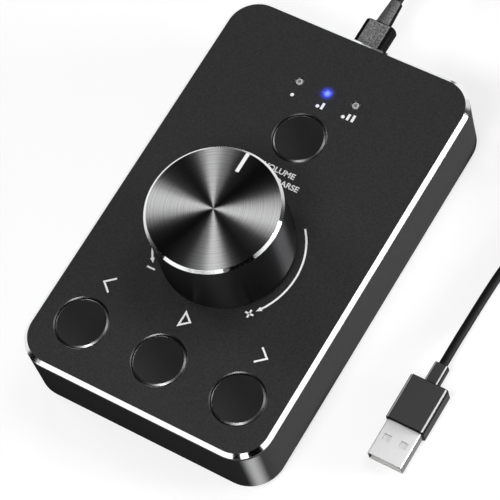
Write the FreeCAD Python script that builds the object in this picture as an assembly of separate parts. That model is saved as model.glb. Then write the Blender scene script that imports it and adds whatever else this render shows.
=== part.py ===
"""USB volume control knob: a flat desktop box with a large push-and-turn knob, four round keys,
three mode lamps and a plug-in USB lead.

The origin is on the table under the middle of the box, +X to the right, +Y towards the socket
at the back and +Z up. All sizes are in millimetres.
"""

import FreeCAD
import Part
import math
import os

from FreeCAD import Vector

# Box
CASE_WIDTH = 90.0
CASE_LENGTH = 145.0
CASE_HEIGHT = 23.9
CASE_CORNER_RADIUS = 11.5
WALL_THICKNESS = 2.2
DECK_THICKNESS = 1.6
CASE_FOOT_CHAMFER = 0.6
SEAM_CHAMFER = 0.15

# Face plate and the sheet that bonds it to the deck
PLATE_THICKNESS = 2.2
PLATE_CHAMFER = 1.3
ADHESIVE_THICKNESS = 0.2
ADHESIVE_INSET = 1.4
ADHESIVE_HOLE_MARGIN = 1.0

# Bottom cover, its screws and the rubber feet
COVER_THICKNESS = 2.2
COVER_LIP = 1.2
COVER_GAP = 0.15
COVER_RIB_HEIGHT = 1.4
COVER_RIB_THICKNESS = 1.2
COVER_RIB_X_SHARES = (-0.25, 0.25)
COVER_RIB_Y_SHARES = (-0.3, 0.0, 0.3)
FOOT_RADIUS = 5.0
FOOT_PROUD = 1.5
FOOT_RECESS = 0.6
FOOT_EDGE = 0.5
FOOT_INSET_X = 12.5
FOOT_INSET_Y = 15.0
COVER_SCREW_INSET_X = 7.4
COVER_SCREW_INSET_Y = 6.1
COVER_SCREW_LENGTH = 8.0
SCREW_SHANK_RADIUS = 1.2
SCREW_HEAD_RADIUS = 2.4
SCREW_HEAD_HEIGHT = 1.3
SCREW_FIT = 0.04
SCREW_TIP = 1.0
SCREW_HOLE_SPARE = 1.0
SCREW_CROSS_LENGTH = 2.4
SCREW_CROSS_WIDTH = 0.5
SCREW_CROSS_DEPTH = 0.7
BOSS_RADIUS = 3.6

# Circuit board
BOARD_THICKNESS = 1.6
BOARD_EDGE_GAP = 0.8
BOARD_CORNER_RADIUS = 3.0
BOARD_POST_RADIUS = 3.0
BOARD_POST_INSET_X = 9.0
BOARD_POST_INSET_FRONT = 34.5
BOARD_POST_INSET_BACK = 20.5
BOARD_SCREW_LENGTH = 4.5
BOARD_BOSS_GAP = 0.6

# Knob
KNOB_RADIUS = 22.0
KNOB_HEIGHT = 25.0
KNOB_Y = -11.5
KNOB_GAP = 2.4
KNOB_TOP_CHAMFER = 0.9
KNOB_FOOT_CHAMFER = 0.5
KNOB_WALL = 2.0
KNOB_TOP_THICKNESS = 2.5
INDICATOR_WIDTH = 1.25
INDICATOR_LENGTH = 7.0
INDICATOR_DEPTH = 0.4
INDICATOR_END_GAP = 0.05
CORE_GAP = 0.05
CORE_RING = 1.5
CORE_RECESS = 1.5
CORE_WEB = 2.0
CORE_HUB_RADIUS = 5.2
CORE_RIB = 1.2
CORE_RIB_COUNT = 6
CORE_RIB_LIFT = 7.0

# Rotary encoder with its push switch
ENCODER_WIDTH = 12.0
ENCODER_DEPTH = 13.0
ENCODER_HEIGHT = 6.5
ENCODER_PLATE = 0.8
ENCODER_TAB_THICKNESS = 0.5
ENCODER_TAB_WIDTH = 6.0
BUSHING_RADIUS = 3.5
BUSHING_LENGTH = 7.0
BUSHING_CHAMFER = 0.4
BUSHING_HOLE_GAP = 0.2
SHAFT_RADIUS = 3.0
SHAFT_LENGTH = 20.0
SHAFT_FLAT_LENGTH = 10.0
SHAFT_FLAT_OFFSET = 1.5
SHAFT_CHAMFER = 0.5
RUNNING_GAP = 0.05
SPINDLE_RADIUS = 2.2
SPINDLE_FLAT_OFFSET = 1.6
ROTOR_RADIUS = 4.8
ROTOR_DISC = 1.7
ROTOR_HUB_RADIUS = 3.3
ROTOR_HUB_LENGTH = 1.2
ROTOR_SIDE_GAP = 0.15
ROTOR_END_GAP = 0.1
CLICK_SPRING = 0.2
PUSH_POCKET_DEPTH = 1.0
KNOB_TRAVEL = 0.5
TRAVEL_SPARE = 0.2
HUB_CLEARANCE = 0.9
WASHER_RADIUS = 6.0
WASHER_THICKNESS = 0.5
NUT_ACROSS_FLATS = 10.0
NUT_THICKNESS = 2.0
NUT_SIDES = 6
NUT_FIT = 0.04
PIN_SIZE = 0.7
PIN_HOLE_RADIUS = 0.6
PIN_BELOW_BOARD = 1.4
PIN_ROW_PITCH = 2.5
PIN_ROW_GAP = 0.6

# Keys and their switches
KEY_HOLE_RADIUS = 8.8
KEY_GAP = 0.25
KEY_INSET_SIDE = 16.0
KEY_INSET_FRONT = 18.1
MODE_KEY_INSET_BACK = 40.1
KEY_HOLE_CHAMFER = 0.35
KEY_BEVEL = 0.55
KEY_DISH = 0.45
KEY_TOP_THICKNESS = 1.5
KEY_SKIRT = 1.3
KEY_FLANGE_MARGIN = 0.7
KEY_FLANGE_THICKNESS = 1.0
KEY_FLANGE_GAP = 0.1
KEY_POST_RADIUS = 2.2
KEY_TRAVEL = 0.8
SWITCH_SIZE = 6.2
SWITCH_HEIGHT = 3.6
SWITCH_LEG_WIDTH = 0.8
SWITCH_LEG_REACH = 0.9
SWITCH_LEG_THICKNESS = 0.3
SWITCH_FLOOR = 0.6
PLUNGER_RADIUS = 1.7
PLUNGER_GAP = 0.08
PLUNGER_SEATED = 1.7

# Mode lamps
LAMP_SPACING = 10.53
LAMP_INSET_BACK = 21.9
LAMP_RADIUS = 1.2
LAMP_HOLE_GAP = 0.08
LAMP_HOLE_CHAMFER = 0.25
LAMP_EDGE = 0.35
LAMP_SUNK = 0.05
LAMP_COLLAR_RADIUS = 2.2
LAMP_COLLAR_HEIGHT = 1.2
LED_LENGTH = 3.0
LED_WIDTH = 1.6
LED_HEIGHT = 0.8
LED_GAP = 0.3

# Parts soldered to the board
CHIP_SIZE = 7.0
CHIP_HEIGHT = 0.9
CHIP_X = -17.0
CHIP_Y = 14.0
CRYSTAL_LENGTH = 3.2
CRYSTAL_WIDTH = 2.5
CRYSTAL_HEIGHT = 0.8
CRYSTAL_GAP = 2.2
SMALL_PART_LENGTH = 1.6
SMALL_PART_WIDTH = 0.8
SMALL_PART_HEIGHT = 0.6
SMALL_PART_PITCH = 2.6
SMALL_PART_ROWS = 2
SMALL_PART_COLUMNS = 7
SMALL_PARTS_X = 12.0
SMALL_PARTS_Y = 14.0

# Socket in the back wall
SOCKET_WIDTH = 8.94
SOCKET_THICKNESS = 3.16
SOCKET_LENGTH = 7.4
SOCKET_WALL = 0.28
SOCKET_BACK = 1.0
SOCKET_SLOT_GAP = 0.2
SOCKET_SUNK = 0.2
TONGUE_WIDTH = 6.7
TONGUE_THICKNESS = 0.7
TONGUE_LENGTH = 4.5

# Plug at the object's end of the lead
C_SHELL_WIDTH = 8.25
C_SHELL_THICKNESS = 2.4
C_SHELL_WALL = 0.3
C_SHELL_LENGTH = 6.2
C_BODY_WIDTH = 11.2
C_BODY_THICKNESS = 6.0
C_BODY_LENGTH = 11.2
C_BODY_CORNER = 2.4
C_BODY_EDGE = 0.7
C_BODY_STANDOFF = 0.6
C_RELIEF_LENGTH = 9.7
C_RELIEF_ROOT_RADIUS = 2.75
C_RELIEF_TIP_RADIUS = 2.15

# Plug at the computer's end of the lead
A_SHELL_WIDTH = 12.0
A_SHELL_THICKNESS = 4.5
A_SHELL_WALL = 0.3
A_SHELL_LENGTH = 12.6
A_SHELL_CORNER = 0.5
A_WINDOW_WIDTH = 2.5
A_WINDOW_LENGTH = 2.2
A_WINDOW_SPACING = 5.84
A_WINDOW_FROM_TIP = 6.9
A_TONGUE_THICKNESS = 1.8
A_TONGUE_SUNK = 0.6
A_TONGUE_GAP = 0.08
A_CONTACT_WIDTH = 1.0
A_CONTACT_THICKNESS = 0.15
A_CONTACT_LENGTH = 7.0
A_CONTACT_SPACING = 2.2
A_CONTACT_COUNT = 4
A_BODY_WIDTH = 13.5
A_BODY_THICKNESS = 6.8
A_BODY_LENGTH = 16.5
A_BODY_CORNER = 1.3
A_BODY_EDGE = 0.5
A_RELIEF_LENGTH = 7.3
A_RELIEF_WIDTH = 4.9
A_RELIEF_THICKNESS = 3.9
A_RELIEF_CORNER = 1.0
A_PLUG_X = 72.9
A_BODY_FRONT_Y = -33.2

# Lead
CORD_RADIUS = 1.5
COIL_X = 77.0
COIL_Y = 86.0
COIL_OUTER_RADIUS = 25.0
COIL_TURN_GAP = 0.45
COIL_TURNS = 8.375
COIL_START_TURN = 0.25
COIL_CLIMB_TURNS = 0.5
COIL_PIECES_PER_TURN = 4
CORD_BEND_SHARE = 0.45
CORD_EXIT_RUN = 9.5
CORD_PLUG_RUN = 8.0

# Cutting tools run past the faces they open by this much
OVERRUN = 1.0

# Heights above the table
CASE_FOOT_Z = FOOT_PROUD
PLATE_TOP_Z = CASE_FOOT_Z + CASE_HEIGHT
PLATE_BOTTOM_Z = PLATE_TOP_Z - PLATE_THICKNESS
DECK_TOP_Z = PLATE_BOTTOM_Z - ADHESIVE_THICKNESS
DECK_UNDER_Z = DECK_TOP_Z - DECK_THICKNESS
COVER_TOP_Z = CASE_FOOT_Z + COVER_THICKNESS
BOARD_TOP_Z = DECK_UNDER_Z - ENCODER_HEIGHT
BOARD_UNDER_Z = BOARD_TOP_Z - BOARD_THICKNESS
KNOB_FOOT_Z = PLATE_TOP_Z + KNOB_GAP
KNOB_TOP_Z = KNOB_FOOT_Z + KNOB_HEIGHT
KNOB_ROOF_Z = KNOB_TOP_Z - KNOB_TOP_THICKNESS
BUSHING_TOP_Z = DECK_UNDER_Z + BUSHING_LENGTH
SHAFT_TOP_Z = DECK_UNDER_Z + SHAFT_LENGTH
SOCKET_Z = BOARD_TOP_Z + SOCKET_THICKNESS / 2
A_PLUG_Z = A_BODY_THICKNESS / 2

# Places seen from above
BACK_Y = CASE_LENGTH / 2
INNER_BACK_Y = BACK_Y - WALL_THICKNESS
COVER_SCREW_X = CASE_WIDTH / 2 - COVER_SCREW_INSET_X
COVER_SCREW_Y = CASE_LENGTH / 2 - COVER_SCREW_INSET_Y
FOOT_X = CASE_WIDTH / 2 - FOOT_INSET_X
FOOT_Y = CASE_LENGTH / 2 - FOOT_INSET_Y
BOARD_POST_X = CASE_WIDTH / 2 - BOARD_POST_INSET_X
BOARD_POST_FRONT_Y = BOARD_POST_INSET_FRONT - BACK_Y
BOARD_POST_BACK_Y = BACK_Y - BOARD_POST_INSET_BACK
KEY_SIDE_X = CASE_WIDTH / 2 - KEY_INSET_SIDE
KEY_ROW_Y = KEY_INSET_FRONT - BACK_Y
MODE_KEY_Y = BACK_Y - MODE_KEY_INSET_BACK
LAMP_Y = BACK_Y - LAMP_INSET_BACK
SOCKET_MOUTH_Y = BACK_Y - SOCKET_SUNK
C_BODY_FRONT_Y = BACK_Y + C_BODY_STANDOFF
C_BODY_REAR_Y = C_BODY_FRONT_Y + C_BODY_LENGTH
C_RELIEF_END_Y = C_BODY_REAR_Y + C_RELIEF_LENGTH
A_BODY_REAR_Y = A_BODY_FRONT_Y + A_BODY_LENGTH
A_RELIEF_END_Y = A_BODY_REAR_Y + A_RELIEF_LENGTH

KEY_PLACES = {
    "previous": (-KEY_SIDE_X, KEY_ROW_Y),
    "play": (0, KEY_ROW_Y),
    "next": (KEY_SIDE_X, KEY_ROW_Y),
    "mode": (0, MODE_KEY_Y),
}
LAMP_PLACES = {
    "low": (-LAMP_SPACING, LAMP_Y),
    "medium": (0, LAMP_Y),
    "high": (LAMP_SPACING, LAMP_Y),
}
COVER_SCREW_PLACES = [(sx * COVER_SCREW_X, sy * COVER_SCREW_Y) for sx in (-1, 1) for sy in (-1, 1)]
FOOT_PLACES = [(sx * FOOT_X, sy * FOOT_Y) for sx in (-1, 1) for sy in (-1, 1)]
BOARD_POST_PLACES = [
    (sx * BOARD_POST_X, y) for sx in (-1, 1) for y in (BOARD_POST_FRONT_Y, BOARD_POST_BACK_Y)
]

# The lead's free stretches, chosen by hand: from the object's plug to the coil, and from the
# coil to the computer's plug. Each starts and ends with a straight run out of what it meets.
LEAD_BENDS = [
    (3.2, 113.6, 11.6),
    (9.8, 122.2, 5.9),
    (20.2, 127.8, 2.0),
    (32.6, 128.6, 1.5),
    (45.0, 123.8, 1.5),
    (55.3, 115.6, 1.5),
    (64.8, 111.0, 1.5),
]
TAIL_BENDS = [
    (79.8, 51.6, 2.7),
    (75.6, 41.6, 1.5),
    (73.3, 30.4, 1.5),
    (72.7, 18.2, 1.5),
    (72.6, 6.2, 1.9),
]


# Shapes used by several pieces

def cylinder(x, y, z, radius, height):
    """Upright cylinder standing on height z."""
    return Part.makeCylinder(radius, height, Vector(x, y, z))


def box(x, y, z, width, length, height):
    """Upright box centred on (x, y), standing on height z."""
    return Part.makeBox(width, length, height, Vector(x - width / 2, y - length / 2, z))


def rounded_outline(width, length, radius):
    """Closed outline in the XY plane, centred on the origin, with rounded corners."""
    x = width / 2
    y = length / 2
    edges = []
    for corner in range(4):
        start = math.pi / 2 * corner
        sign_x = 1 if corner in (0, 3) else -1
        sign_y = 1 if corner in (0, 1) else -1
        centre = Vector(sign_x * (x - radius), sign_y * (y - radius), 0)
        points = [
            centre + Vector(math.cos(a), math.sin(a), 0) * radius
            for a in (start, start + math.pi / 4, start + math.pi / 2)
        ]
        if edges:
            edges.append(Part.LineSegment(edges[-1].EndPoint, points[0]))
        edges.append(Part.Arc(*points))
    edges.append(Part.LineSegment(edges[-1].EndPoint, edges[0].StartPoint))
    return Part.Wire([edge.toShape() for edge in edges])


def rounded_prism(width, length, radius, z, height):
    """Upright prism with rounded corners, centred on the origin, standing on height z."""
    prism = Part.Face(rounded_outline(width, length, radius)).extrude(Vector(0, 0, height))
    prism.translate(Vector(0, 0, z))
    return prism


def lying_prism(width, thickness, corner, length):
    """Bar along +Y from y = 0, centred on x = z = 0, with rounded long edges."""
    bar = Part.Face(rounded_outline(width, thickness, corner)).extrude(Vector(0, 0, length))
    bar.rotate(Vector(0, 0, 0), Vector(1, 0, 0), -90)
    return bar


def flat_oval(width, thickness, length):
    """Bar along +Y from y = 0, centred on x = z = 0, whose two narrow sides are half round."""
    radius = thickness / 2
    side = width / 2 - radius
    corners = [Vector(-side, 0, -radius), Vector(side, 0, -radius)]
    corners += [Vector(side, 0, radius), Vector(-side, 0, radius)]
    outline = Part.Wire([
        Part.LineSegment(corners[0], corners[1]).toShape(),
        Part.Arc(corners[1], Vector(width / 2, 0, 0), corners[2]).toShape(),
        Part.LineSegment(corners[2], corners[3]).toShape(),
        Part.Arc(corners[3], Vector(-width / 2, 0, 0), corners[0]).toShape(),
    ])
    return Part.Face(outline).extrude(Vector(0, length, 0))


def turned(profile, x=0, y=0):
    """Solid of revolution about the upright line through (x, y).

    The profile is a closed list of (radius, height) corners, and an item of three such pairs
    is an arc through them.
    """
    edges = []
    last = profile[0]
    for item in profile[1:] + [profile[0]]:
        if isinstance(item[0], tuple):
            middle, end = item
            ends = [Vector(r, 0, z) for r, z in (last, middle, end)]
            edges.append(Part.Arc(*ends).toShape())
            last = end
        else:
            start = Vector(last[0], 0, last[1])
            end = Vector(item[0], 0, item[1])
            edges.append(Part.LineSegment(start, end).toShape())
            last = item
    solid = Part.Face(Part.Wire(edges)).revolve(Vector(0, 0, 0), Vector(0, 0, 1), 360)
    solid.translate(Vector(x, y, 0))
    return solid


def level_edges(shape, z):
    """Edges that lie flat at height z."""
    box_of = [(edge, edge.BoundBox) for edge in shape.Edges]
    near = OVERRUN / 1000
    return [e for e, b in box_of if abs(b.ZMin - z) < near and abs(b.ZMax - z) < near]


def end_edges(shape, y):
    """Edges that lie in the plane at y."""
    box_of = [(edge, edge.BoundBox) for edge in shape.Edges]
    near = OVERRUN / 1000
    return [e for e, b in box_of if abs(b.YMin - y) < near and abs(b.YMax - y) < near]


def bevelled_hole(x, y, z_low, z_top, radius, bevel):
    """Cutting tool for a through hole whose upper edge is bevelled."""
    return turned([
        (0, z_low - OVERRUN),
        (radius, z_low - OVERRUN),
        (radius, z_top - bevel),
        (radius + bevel, z_top),
        (radius + bevel, z_top + OVERRUN),
        (0, z_top + OVERRUN),
    ], x, y)


def drive_cross(x, y, z_face, direction):
    """Cutting tool for the cross recess of a screw whose face is at z_face and looks down or up."""
    z = z_face - OVERRUN if direction < 0 else z_face - SCREW_CROSS_DEPTH
    height = SCREW_CROSS_DEPTH + OVERRUN
    bar = box(x, y, z, SCREW_CROSS_LENGTH, SCREW_CROSS_WIDTH, height)
    return bar.fuse(box(x, y, z, SCREW_CROSS_WIDTH, SCREW_CROSS_LENGTH, height))


def screw_hole(x, y, z, length):
    """Cutting tool for the blind hole above height z that takes a screw of that length."""
    radius = SCREW_SHANK_RADIUS + SCREW_FIT
    return cylinder(x, y, z - OVERRUN, radius, length + SCREW_HOLE_SPARE + OVERRUN)


def joined(shapes):
    """One solid from shapes that overlap or share a face."""
    return shapes[0].multiFuse(shapes[1:]).removeSplitter()


def several(solids):
    """A group of separate solids in one piece file."""
    return Part.makeCompound(solids)


# Box

def face_plate():
    """Metal plate with a broad bright bevel round its upper edge and holes for the controls."""
    plate = rounded_prism(CASE_WIDTH, CASE_LENGTH, CASE_CORNER_RADIUS, PLATE_BOTTOM_Z, PLATE_THICKNESS)
    plate = plate.makeChamfer(PLATE_CHAMFER, level_edges(plate, PLATE_TOP_Z))
    plate = plate.makeChamfer(SEAM_CHAMFER, level_edges(plate, PLATE_BOTTOM_Z))
    tools = [
        bevelled_hole(x, y, PLATE_BOTTOM_Z, PLATE_TOP_Z, KEY_HOLE_RADIUS, KEY_HOLE_CHAMFER)
        for x, y in KEY_PLACES.values()
    ]
    tools += [
        bevelled_hole(
            x, y, PLATE_BOTTOM_Z, PLATE_TOP_Z, LAMP_RADIUS + LAMP_HOLE_GAP, LAMP_HOLE_CHAMFER
        )
        for x, y in LAMP_PLACES.values()
    ]
    tools.append(bushing_hole(PLATE_BOTTOM_Z, PLATE_THICKNESS))
    return plate.cut(tools)


def bushing_hole(z, height):
    """Cutting tool for the hole that the encoder's bushing passes through."""
    radius = BUSHING_RADIUS + BUSHING_HOLE_GAP
    return cylinder(0, KNOB_Y, z - OVERRUN, radius, height + 2 * OVERRUN)


def adhesive_sheet():
    """Thin double-sided sheet between the plate and the deck."""
    sheet = rounded_prism(
        CASE_WIDTH - 2 * ADHESIVE_INSET,
        CASE_LENGTH - 2 * ADHESIVE_INSET,
        CASE_CORNER_RADIUS - ADHESIVE_INSET,
        DECK_TOP_Z,
        ADHESIVE_THICKNESS,
    )
    low = DECK_TOP_Z - OVERRUN
    height = ADHESIVE_THICKNESS + 2 * OVERRUN
    places = [(x, y, KEY_HOLE_RADIUS) for x, y in KEY_PLACES.values()]
    places += [(x, y, LAMP_RADIUS) for x, y in LAMP_PLACES.values()]
    places.append((0, KNOB_Y, BUSHING_RADIUS))
    return sheet.cut([
        cylinder(x, y, low, radius + ADHESIVE_HOLE_MARGIN, height) for x, y, radius in places
    ])


def case_body():
    """Cast wall frame with the deck that carries the plate, the board posts and screw bosses."""
    height = DECK_TOP_Z - CASE_FOOT_Z
    body = rounded_prism(CASE_WIDTH, CASE_LENGTH, CASE_CORNER_RADIUS, CASE_FOOT_Z, height)
    body = body.makeChamfer(CASE_FOOT_CHAMFER, level_edges(body, CASE_FOOT_Z))
    body = body.makeChamfer(SEAM_CHAMFER, level_edges(body, DECK_TOP_Z))
    hollow = rounded_prism(
        CASE_WIDTH - 2 * WALL_THICKNESS,
        CASE_LENGTH - 2 * WALL_THICKNESS,
        CASE_CORNER_RADIUS - WALL_THICKNESS,
        CASE_FOOT_Z - OVERRUN,
        DECK_UNDER_Z - CASE_FOOT_Z + OVERRUN,
    )
    cover_seat = rounded_prism(
        CASE_WIDTH - 2 * COVER_LIP,
        CASE_LENGTH - 2 * COVER_LIP,
        CASE_CORNER_RADIUS - COVER_LIP,
        CASE_FOOT_Z - OVERRUN,
        COVER_THICKNESS + OVERRUN,
    )
    bosses = [
        cylinder(x, y, COVER_TOP_Z, BOSS_RADIUS, DECK_TOP_Z - COVER_TOP_Z)
        for x, y in COVER_SCREW_PLACES
    ]
    bosses = [boss.common(rounded_prism(
        CASE_WIDTH - WALL_THICKNESS,
        CASE_LENGTH - WALL_THICKNESS,
        CASE_CORNER_RADIUS - WALL_THICKNESS / 2,
        COVER_TOP_Z,
        DECK_TOP_Z - ADHESIVE_THICKNESS - COVER_TOP_Z,
    )) for boss in bosses]
    posts = [
        cylinder(x, y, BOARD_TOP_Z, BOARD_POST_RADIUS, DECK_UNDER_Z - BOARD_TOP_Z + DECK_THICKNESS / 2)
        for x, y in BOARD_POST_PLACES
    ]
    body = joined([body.cut([hollow, cover_seat])] + bosses + posts)
    tools = [
        cylinder(x, y, DECK_UNDER_Z - OVERRUN, KEY_HOLE_RADIUS, DECK_THICKNESS + 2 * OVERRUN)
        for x, y in KEY_PLACES.values()
    ]
    tools += [
        cylinder(
            x, y, DECK_UNDER_Z - OVERRUN, LAMP_RADIUS + LAMP_HOLE_GAP, DECK_THICKNESS + 2 * OVERRUN
        )
        for x, y in LAMP_PLACES.values()
    ]
    tools.append(bushing_hole(DECK_UNDER_Z, DECK_THICKNESS))
    tools += [
        screw_hole(x, y, COVER_TOP_Z, COVER_SCREW_LENGTH) for x, y in COVER_SCREW_PLACES
    ]
    tools += [
        screw_hole(x, y, BOARD_TOP_Z, BOARD_SCREW_LENGTH) for x, y in BOARD_POST_PLACES
    ]
    slot = flat_oval(
        SOCKET_WIDTH + 2 * SOCKET_SLOT_GAP,
        SOCKET_THICKNESS + 2 * SOCKET_SLOT_GAP,
        WALL_THICKNESS + 2 * OVERRUN,
    )
    slot.translate(Vector(0, INNER_BACK_Y - OVERRUN, SOCKET_Z))
    tools.append(slot)
    return body.cut(tools)


def bottom_cover():
    """Inset cover with countersunk screw holes, foot recesses and stiffening ribs inside."""
    inset = COVER_LIP + COVER_GAP
    cover = rounded_prism(
        CASE_WIDTH - 2 * inset,
        CASE_LENGTH - 2 * inset,
        CASE_CORNER_RADIUS - inset,
        CASE_FOOT_Z,
        COVER_THICKNESS,
    )
    rib_reach_x = CASE_WIDTH / 2 - COVER_SCREW_INSET_X - BOSS_RADIUS - COVER_GAP
    rib_reach_y = CASE_LENGTH / 2 - COVER_SCREW_INSET_Y - BOSS_RADIUS - COVER_GAP
    rib_root_z = COVER_TOP_Z - COVER_THICKNESS / 2
    rib_height = COVER_RIB_HEIGHT + COVER_THICKNESS / 2
    ribs = [
        box(share * CASE_WIDTH, 0, rib_root_z, COVER_RIB_THICKNESS, 2 * rib_reach_y, rib_height)
        for share in COVER_RIB_X_SHARES
    ]
    ribs += [
        box(0, share * CASE_LENGTH, rib_root_z, 2 * rib_reach_x, COVER_RIB_THICKNESS, rib_height)
        for share in COVER_RIB_Y_SHARES
    ]
    tools = [
        cylinder(x, y, CASE_FOOT_Z - OVERRUN, FOOT_RADIUS, FOOT_RECESS + OVERRUN)
        for x, y in FOOT_PLACES
    ]
    shank = SCREW_SHANK_RADIUS + SCREW_FIT
    head = SCREW_HEAD_RADIUS + SCREW_FIT
    tools += [turned([
        (0, CASE_FOOT_Z - OVERRUN),
        (head, CASE_FOOT_Z - OVERRUN),
        (head, CASE_FOOT_Z),
        (shank, CASE_FOOT_Z + SCREW_HEAD_HEIGHT),
        (shank, COVER_TOP_Z + OVERRUN),
        (0, COVER_TOP_Z + OVERRUN),
    ], x, y) for x, y in COVER_SCREW_PLACES]
    return joined([cover] + ribs).cut(tools)


def cover_screws():
    """Four countersunk screws that hold the cover."""
    screws = []
    for x, y in COVER_SCREW_PLACES:
        screw = turned([
            (0, CASE_FOOT_Z),
            (SCREW_HEAD_RADIUS, CASE_FOOT_Z),
            (SCREW_SHANK_RADIUS, CASE_FOOT_Z + SCREW_HEAD_HEIGHT),
            (SCREW_SHANK_RADIUS, COVER_TOP_Z + COVER_SCREW_LENGTH - SCREW_TIP),
            (0, COVER_TOP_Z + COVER_SCREW_LENGTH),
        ], x, y)
        screws.append(screw.cut(drive_cross(x, y, CASE_FOOT_Z, -1)))
    return several(screws)


def rubber_feet():
    """Four round pads bonded into the cover's recesses; the box stands on them."""
    top = CASE_FOOT_Z + FOOT_RECESS
    return several([turned([
        (0, 0),
        (FOOT_RADIUS - FOOT_EDGE, 0),
        (FOOT_RADIUS, FOOT_EDGE),
        (FOOT_RADIUS, top),
        (0, top),
    ], x, y) for x, y in FOOT_PLACES])


# Circuit board and what is soldered to it

def main_board():
    """Board that fills the box, notched round the screw bosses, with holes for screws and pins."""
    edge = 2 * (WALL_THICKNESS + BOARD_EDGE_GAP)
    board = rounded_prism(
        CASE_WIDTH - edge, CASE_LENGTH - edge, BOARD_CORNER_RADIUS, BOARD_UNDER_Z, BOARD_THICKNESS
    )
    low = BOARD_UNDER_Z - OVERRUN
    height = BOARD_THICKNESS + 2 * OVERRUN
    tools = []
    for x, y in COVER_SCREW_PLACES:
        notch = BOSS_RADIUS + BOARD_BOSS_GAP
        reach = COVER_SCREW_INSET_X + OVERRUN
        tools.append(cylinder(x, y, low, notch, height))
        middle = reach / 2
        sign_x = math.copysign(1, x)
        sign_y = math.copysign(1, y)
        tools.append(box(x + sign_x * middle, y, low, reach, 2 * notch, height))
        tools.append(box(x, y + sign_y * middle, low, 2 * notch, reach, height))
        tools.append(box(x + sign_x * middle, y + sign_y * middle, low, reach, reach, height))
    shank = SCREW_SHANK_RADIUS + SCREW_FIT
    tools += [cylinder(x, y, low, shank, height) for x, y in BOARD_POST_PLACES]
    tools += [cylinder(x, y, low, PIN_HOLE_RADIUS, height) for x, y in encoder_pin_places()]
    return board.cut(tools)


def board_screws():
    """Four pan-head screws that hold the board to the posts from below."""
    screws = []
    for x, y in BOARD_POST_PLACES:
        head_z = BOARD_UNDER_Z - SCREW_HEAD_HEIGHT
        screw = turned([
            (0, head_z),
            (SCREW_HEAD_RADIUS - SCREW_HEAD_HEIGHT / 2, head_z),
            (SCREW_HEAD_RADIUS, head_z + SCREW_HEAD_HEIGHT / 2),
            (SCREW_HEAD_RADIUS, BOARD_UNDER_Z),
            (SCREW_SHANK_RADIUS, BOARD_UNDER_Z),
            (SCREW_SHANK_RADIUS, BOARD_TOP_Z + BOARD_SCREW_LENGTH - SCREW_TIP),
            (0, BOARD_TOP_Z + BOARD_SCREW_LENGTH),
        ], x, y)
        screws.append(screw.cut(drive_cross(x, y, head_z, -1)))
    return several(screws)


def tact_switches():
    """Bodies of the four push switches, each bored for its plunger."""
    bodies = []
    leg_z = BOARD_TOP_Z
    for x, y in KEY_PLACES.values():
        body = box(x, y, BOARD_TOP_Z, SWITCH_SIZE, SWITCH_SIZE, SWITCH_HEIGHT)
        legs = [
            box(
                x, y + side * SWITCH_SIZE / 4, leg_z,
                SWITCH_SIZE + 2 * SWITCH_LEG_REACH, SWITCH_LEG_WIDTH, SWITCH_LEG_THICKNESS,
            )
            for side in (-1, 1)
        ]
        bore = cylinder(
            x, y, BOARD_TOP_Z + SWITCH_FLOOR, PLUNGER_RADIUS + PLUNGER_GAP, SWITCH_HEIGHT
        )
        bodies.append(joined([body] + legs).cut(bore))
    return several(bodies)


def led_chips():
    """Three surface-mount lamps under the light pipes."""
    return several([
        box(x, y, BOARD_TOP_Z, LED_LENGTH, LED_WIDTH, LED_HEIGHT) for x, y in LAMP_PLACES.values()
    ])


def light_pipe(x, y):
    """Clear rod from above one lamp to the plate, with a collar under the deck."""
    top = PLATE_TOP_Z - LAMP_SUNK
    edge = LAMP_RADIUS - LAMP_EDGE
    middle = (edge + LAMP_EDGE * math.sin(math.pi / 4), top - LAMP_EDGE * (1 - math.cos(math.pi / 4)))
    return turned([
        (0, BOARD_TOP_Z + LED_HEIGHT + LED_GAP),
        (LAMP_RADIUS, BOARD_TOP_Z + LED_HEIGHT + LED_GAP),
        (LAMP_RADIUS, DECK_UNDER_Z - LAMP_COLLAR_HEIGHT),
        (LAMP_COLLAR_RADIUS, DECK_UNDER_Z - LAMP_COLLAR_HEIGHT),
        (LAMP_COLLAR_RADIUS, DECK_UNDER_Z),
        (LAMP_RADIUS, DECK_UNDER_Z),
        (LAMP_RADIUS, top - LAMP_EDGE),
        (middle, (edge, top)),
        (0, top),
    ], x, y)


def controller_chip():
    """Flat square controller package."""
    return box(CHIP_X, CHIP_Y, BOARD_TOP_Z, CHIP_SIZE, CHIP_SIZE, CHIP_HEIGHT)


def crystal():
    """Clock crystal beside the controller."""
    x = CHIP_X + CHIP_SIZE / 2 + CRYSTAL_GAP
    return box(x, CHIP_Y, BOARD_TOP_Z, CRYSTAL_WIDTH, CRYSTAL_LENGTH, CRYSTAL_HEIGHT)


def board_parts():
    """Rows of small resistors and capacitors."""
    return several([
        box(
            SMALL_PARTS_X + column * SMALL_PART_PITCH, SMALL_PARTS_Y + row * SMALL_PART_PITCH,
            BOARD_TOP_Z, SMALL_PART_WIDTH, SMALL_PART_LENGTH, SMALL_PART_HEIGHT,
        )
        for row in range(SMALL_PART_ROWS)
        for column in range(SMALL_PART_COLUMNS)
    ])


def usb_c_socket():
    """Metal sleeve of the socket, closed at its back, reaching through the wall."""
    sleeve = flat_oval(SOCKET_WIDTH, SOCKET_THICKNESS, SOCKET_LENGTH)
    mouth = flat_oval(
        SOCKET_WIDTH - 2 * SOCKET_WALL, SOCKET_THICKNESS - 2 * SOCKET_WALL, SOCKET_LENGTH
    )
    mouth.translate(Vector(0, SOCKET_BACK, 0))
    sleeve = sleeve.cut(mouth)
    sleeve.translate(Vector(0, SOCKET_MOUTH_Y - SOCKET_LENGTH, SOCKET_Z))
    return sleeve


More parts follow.
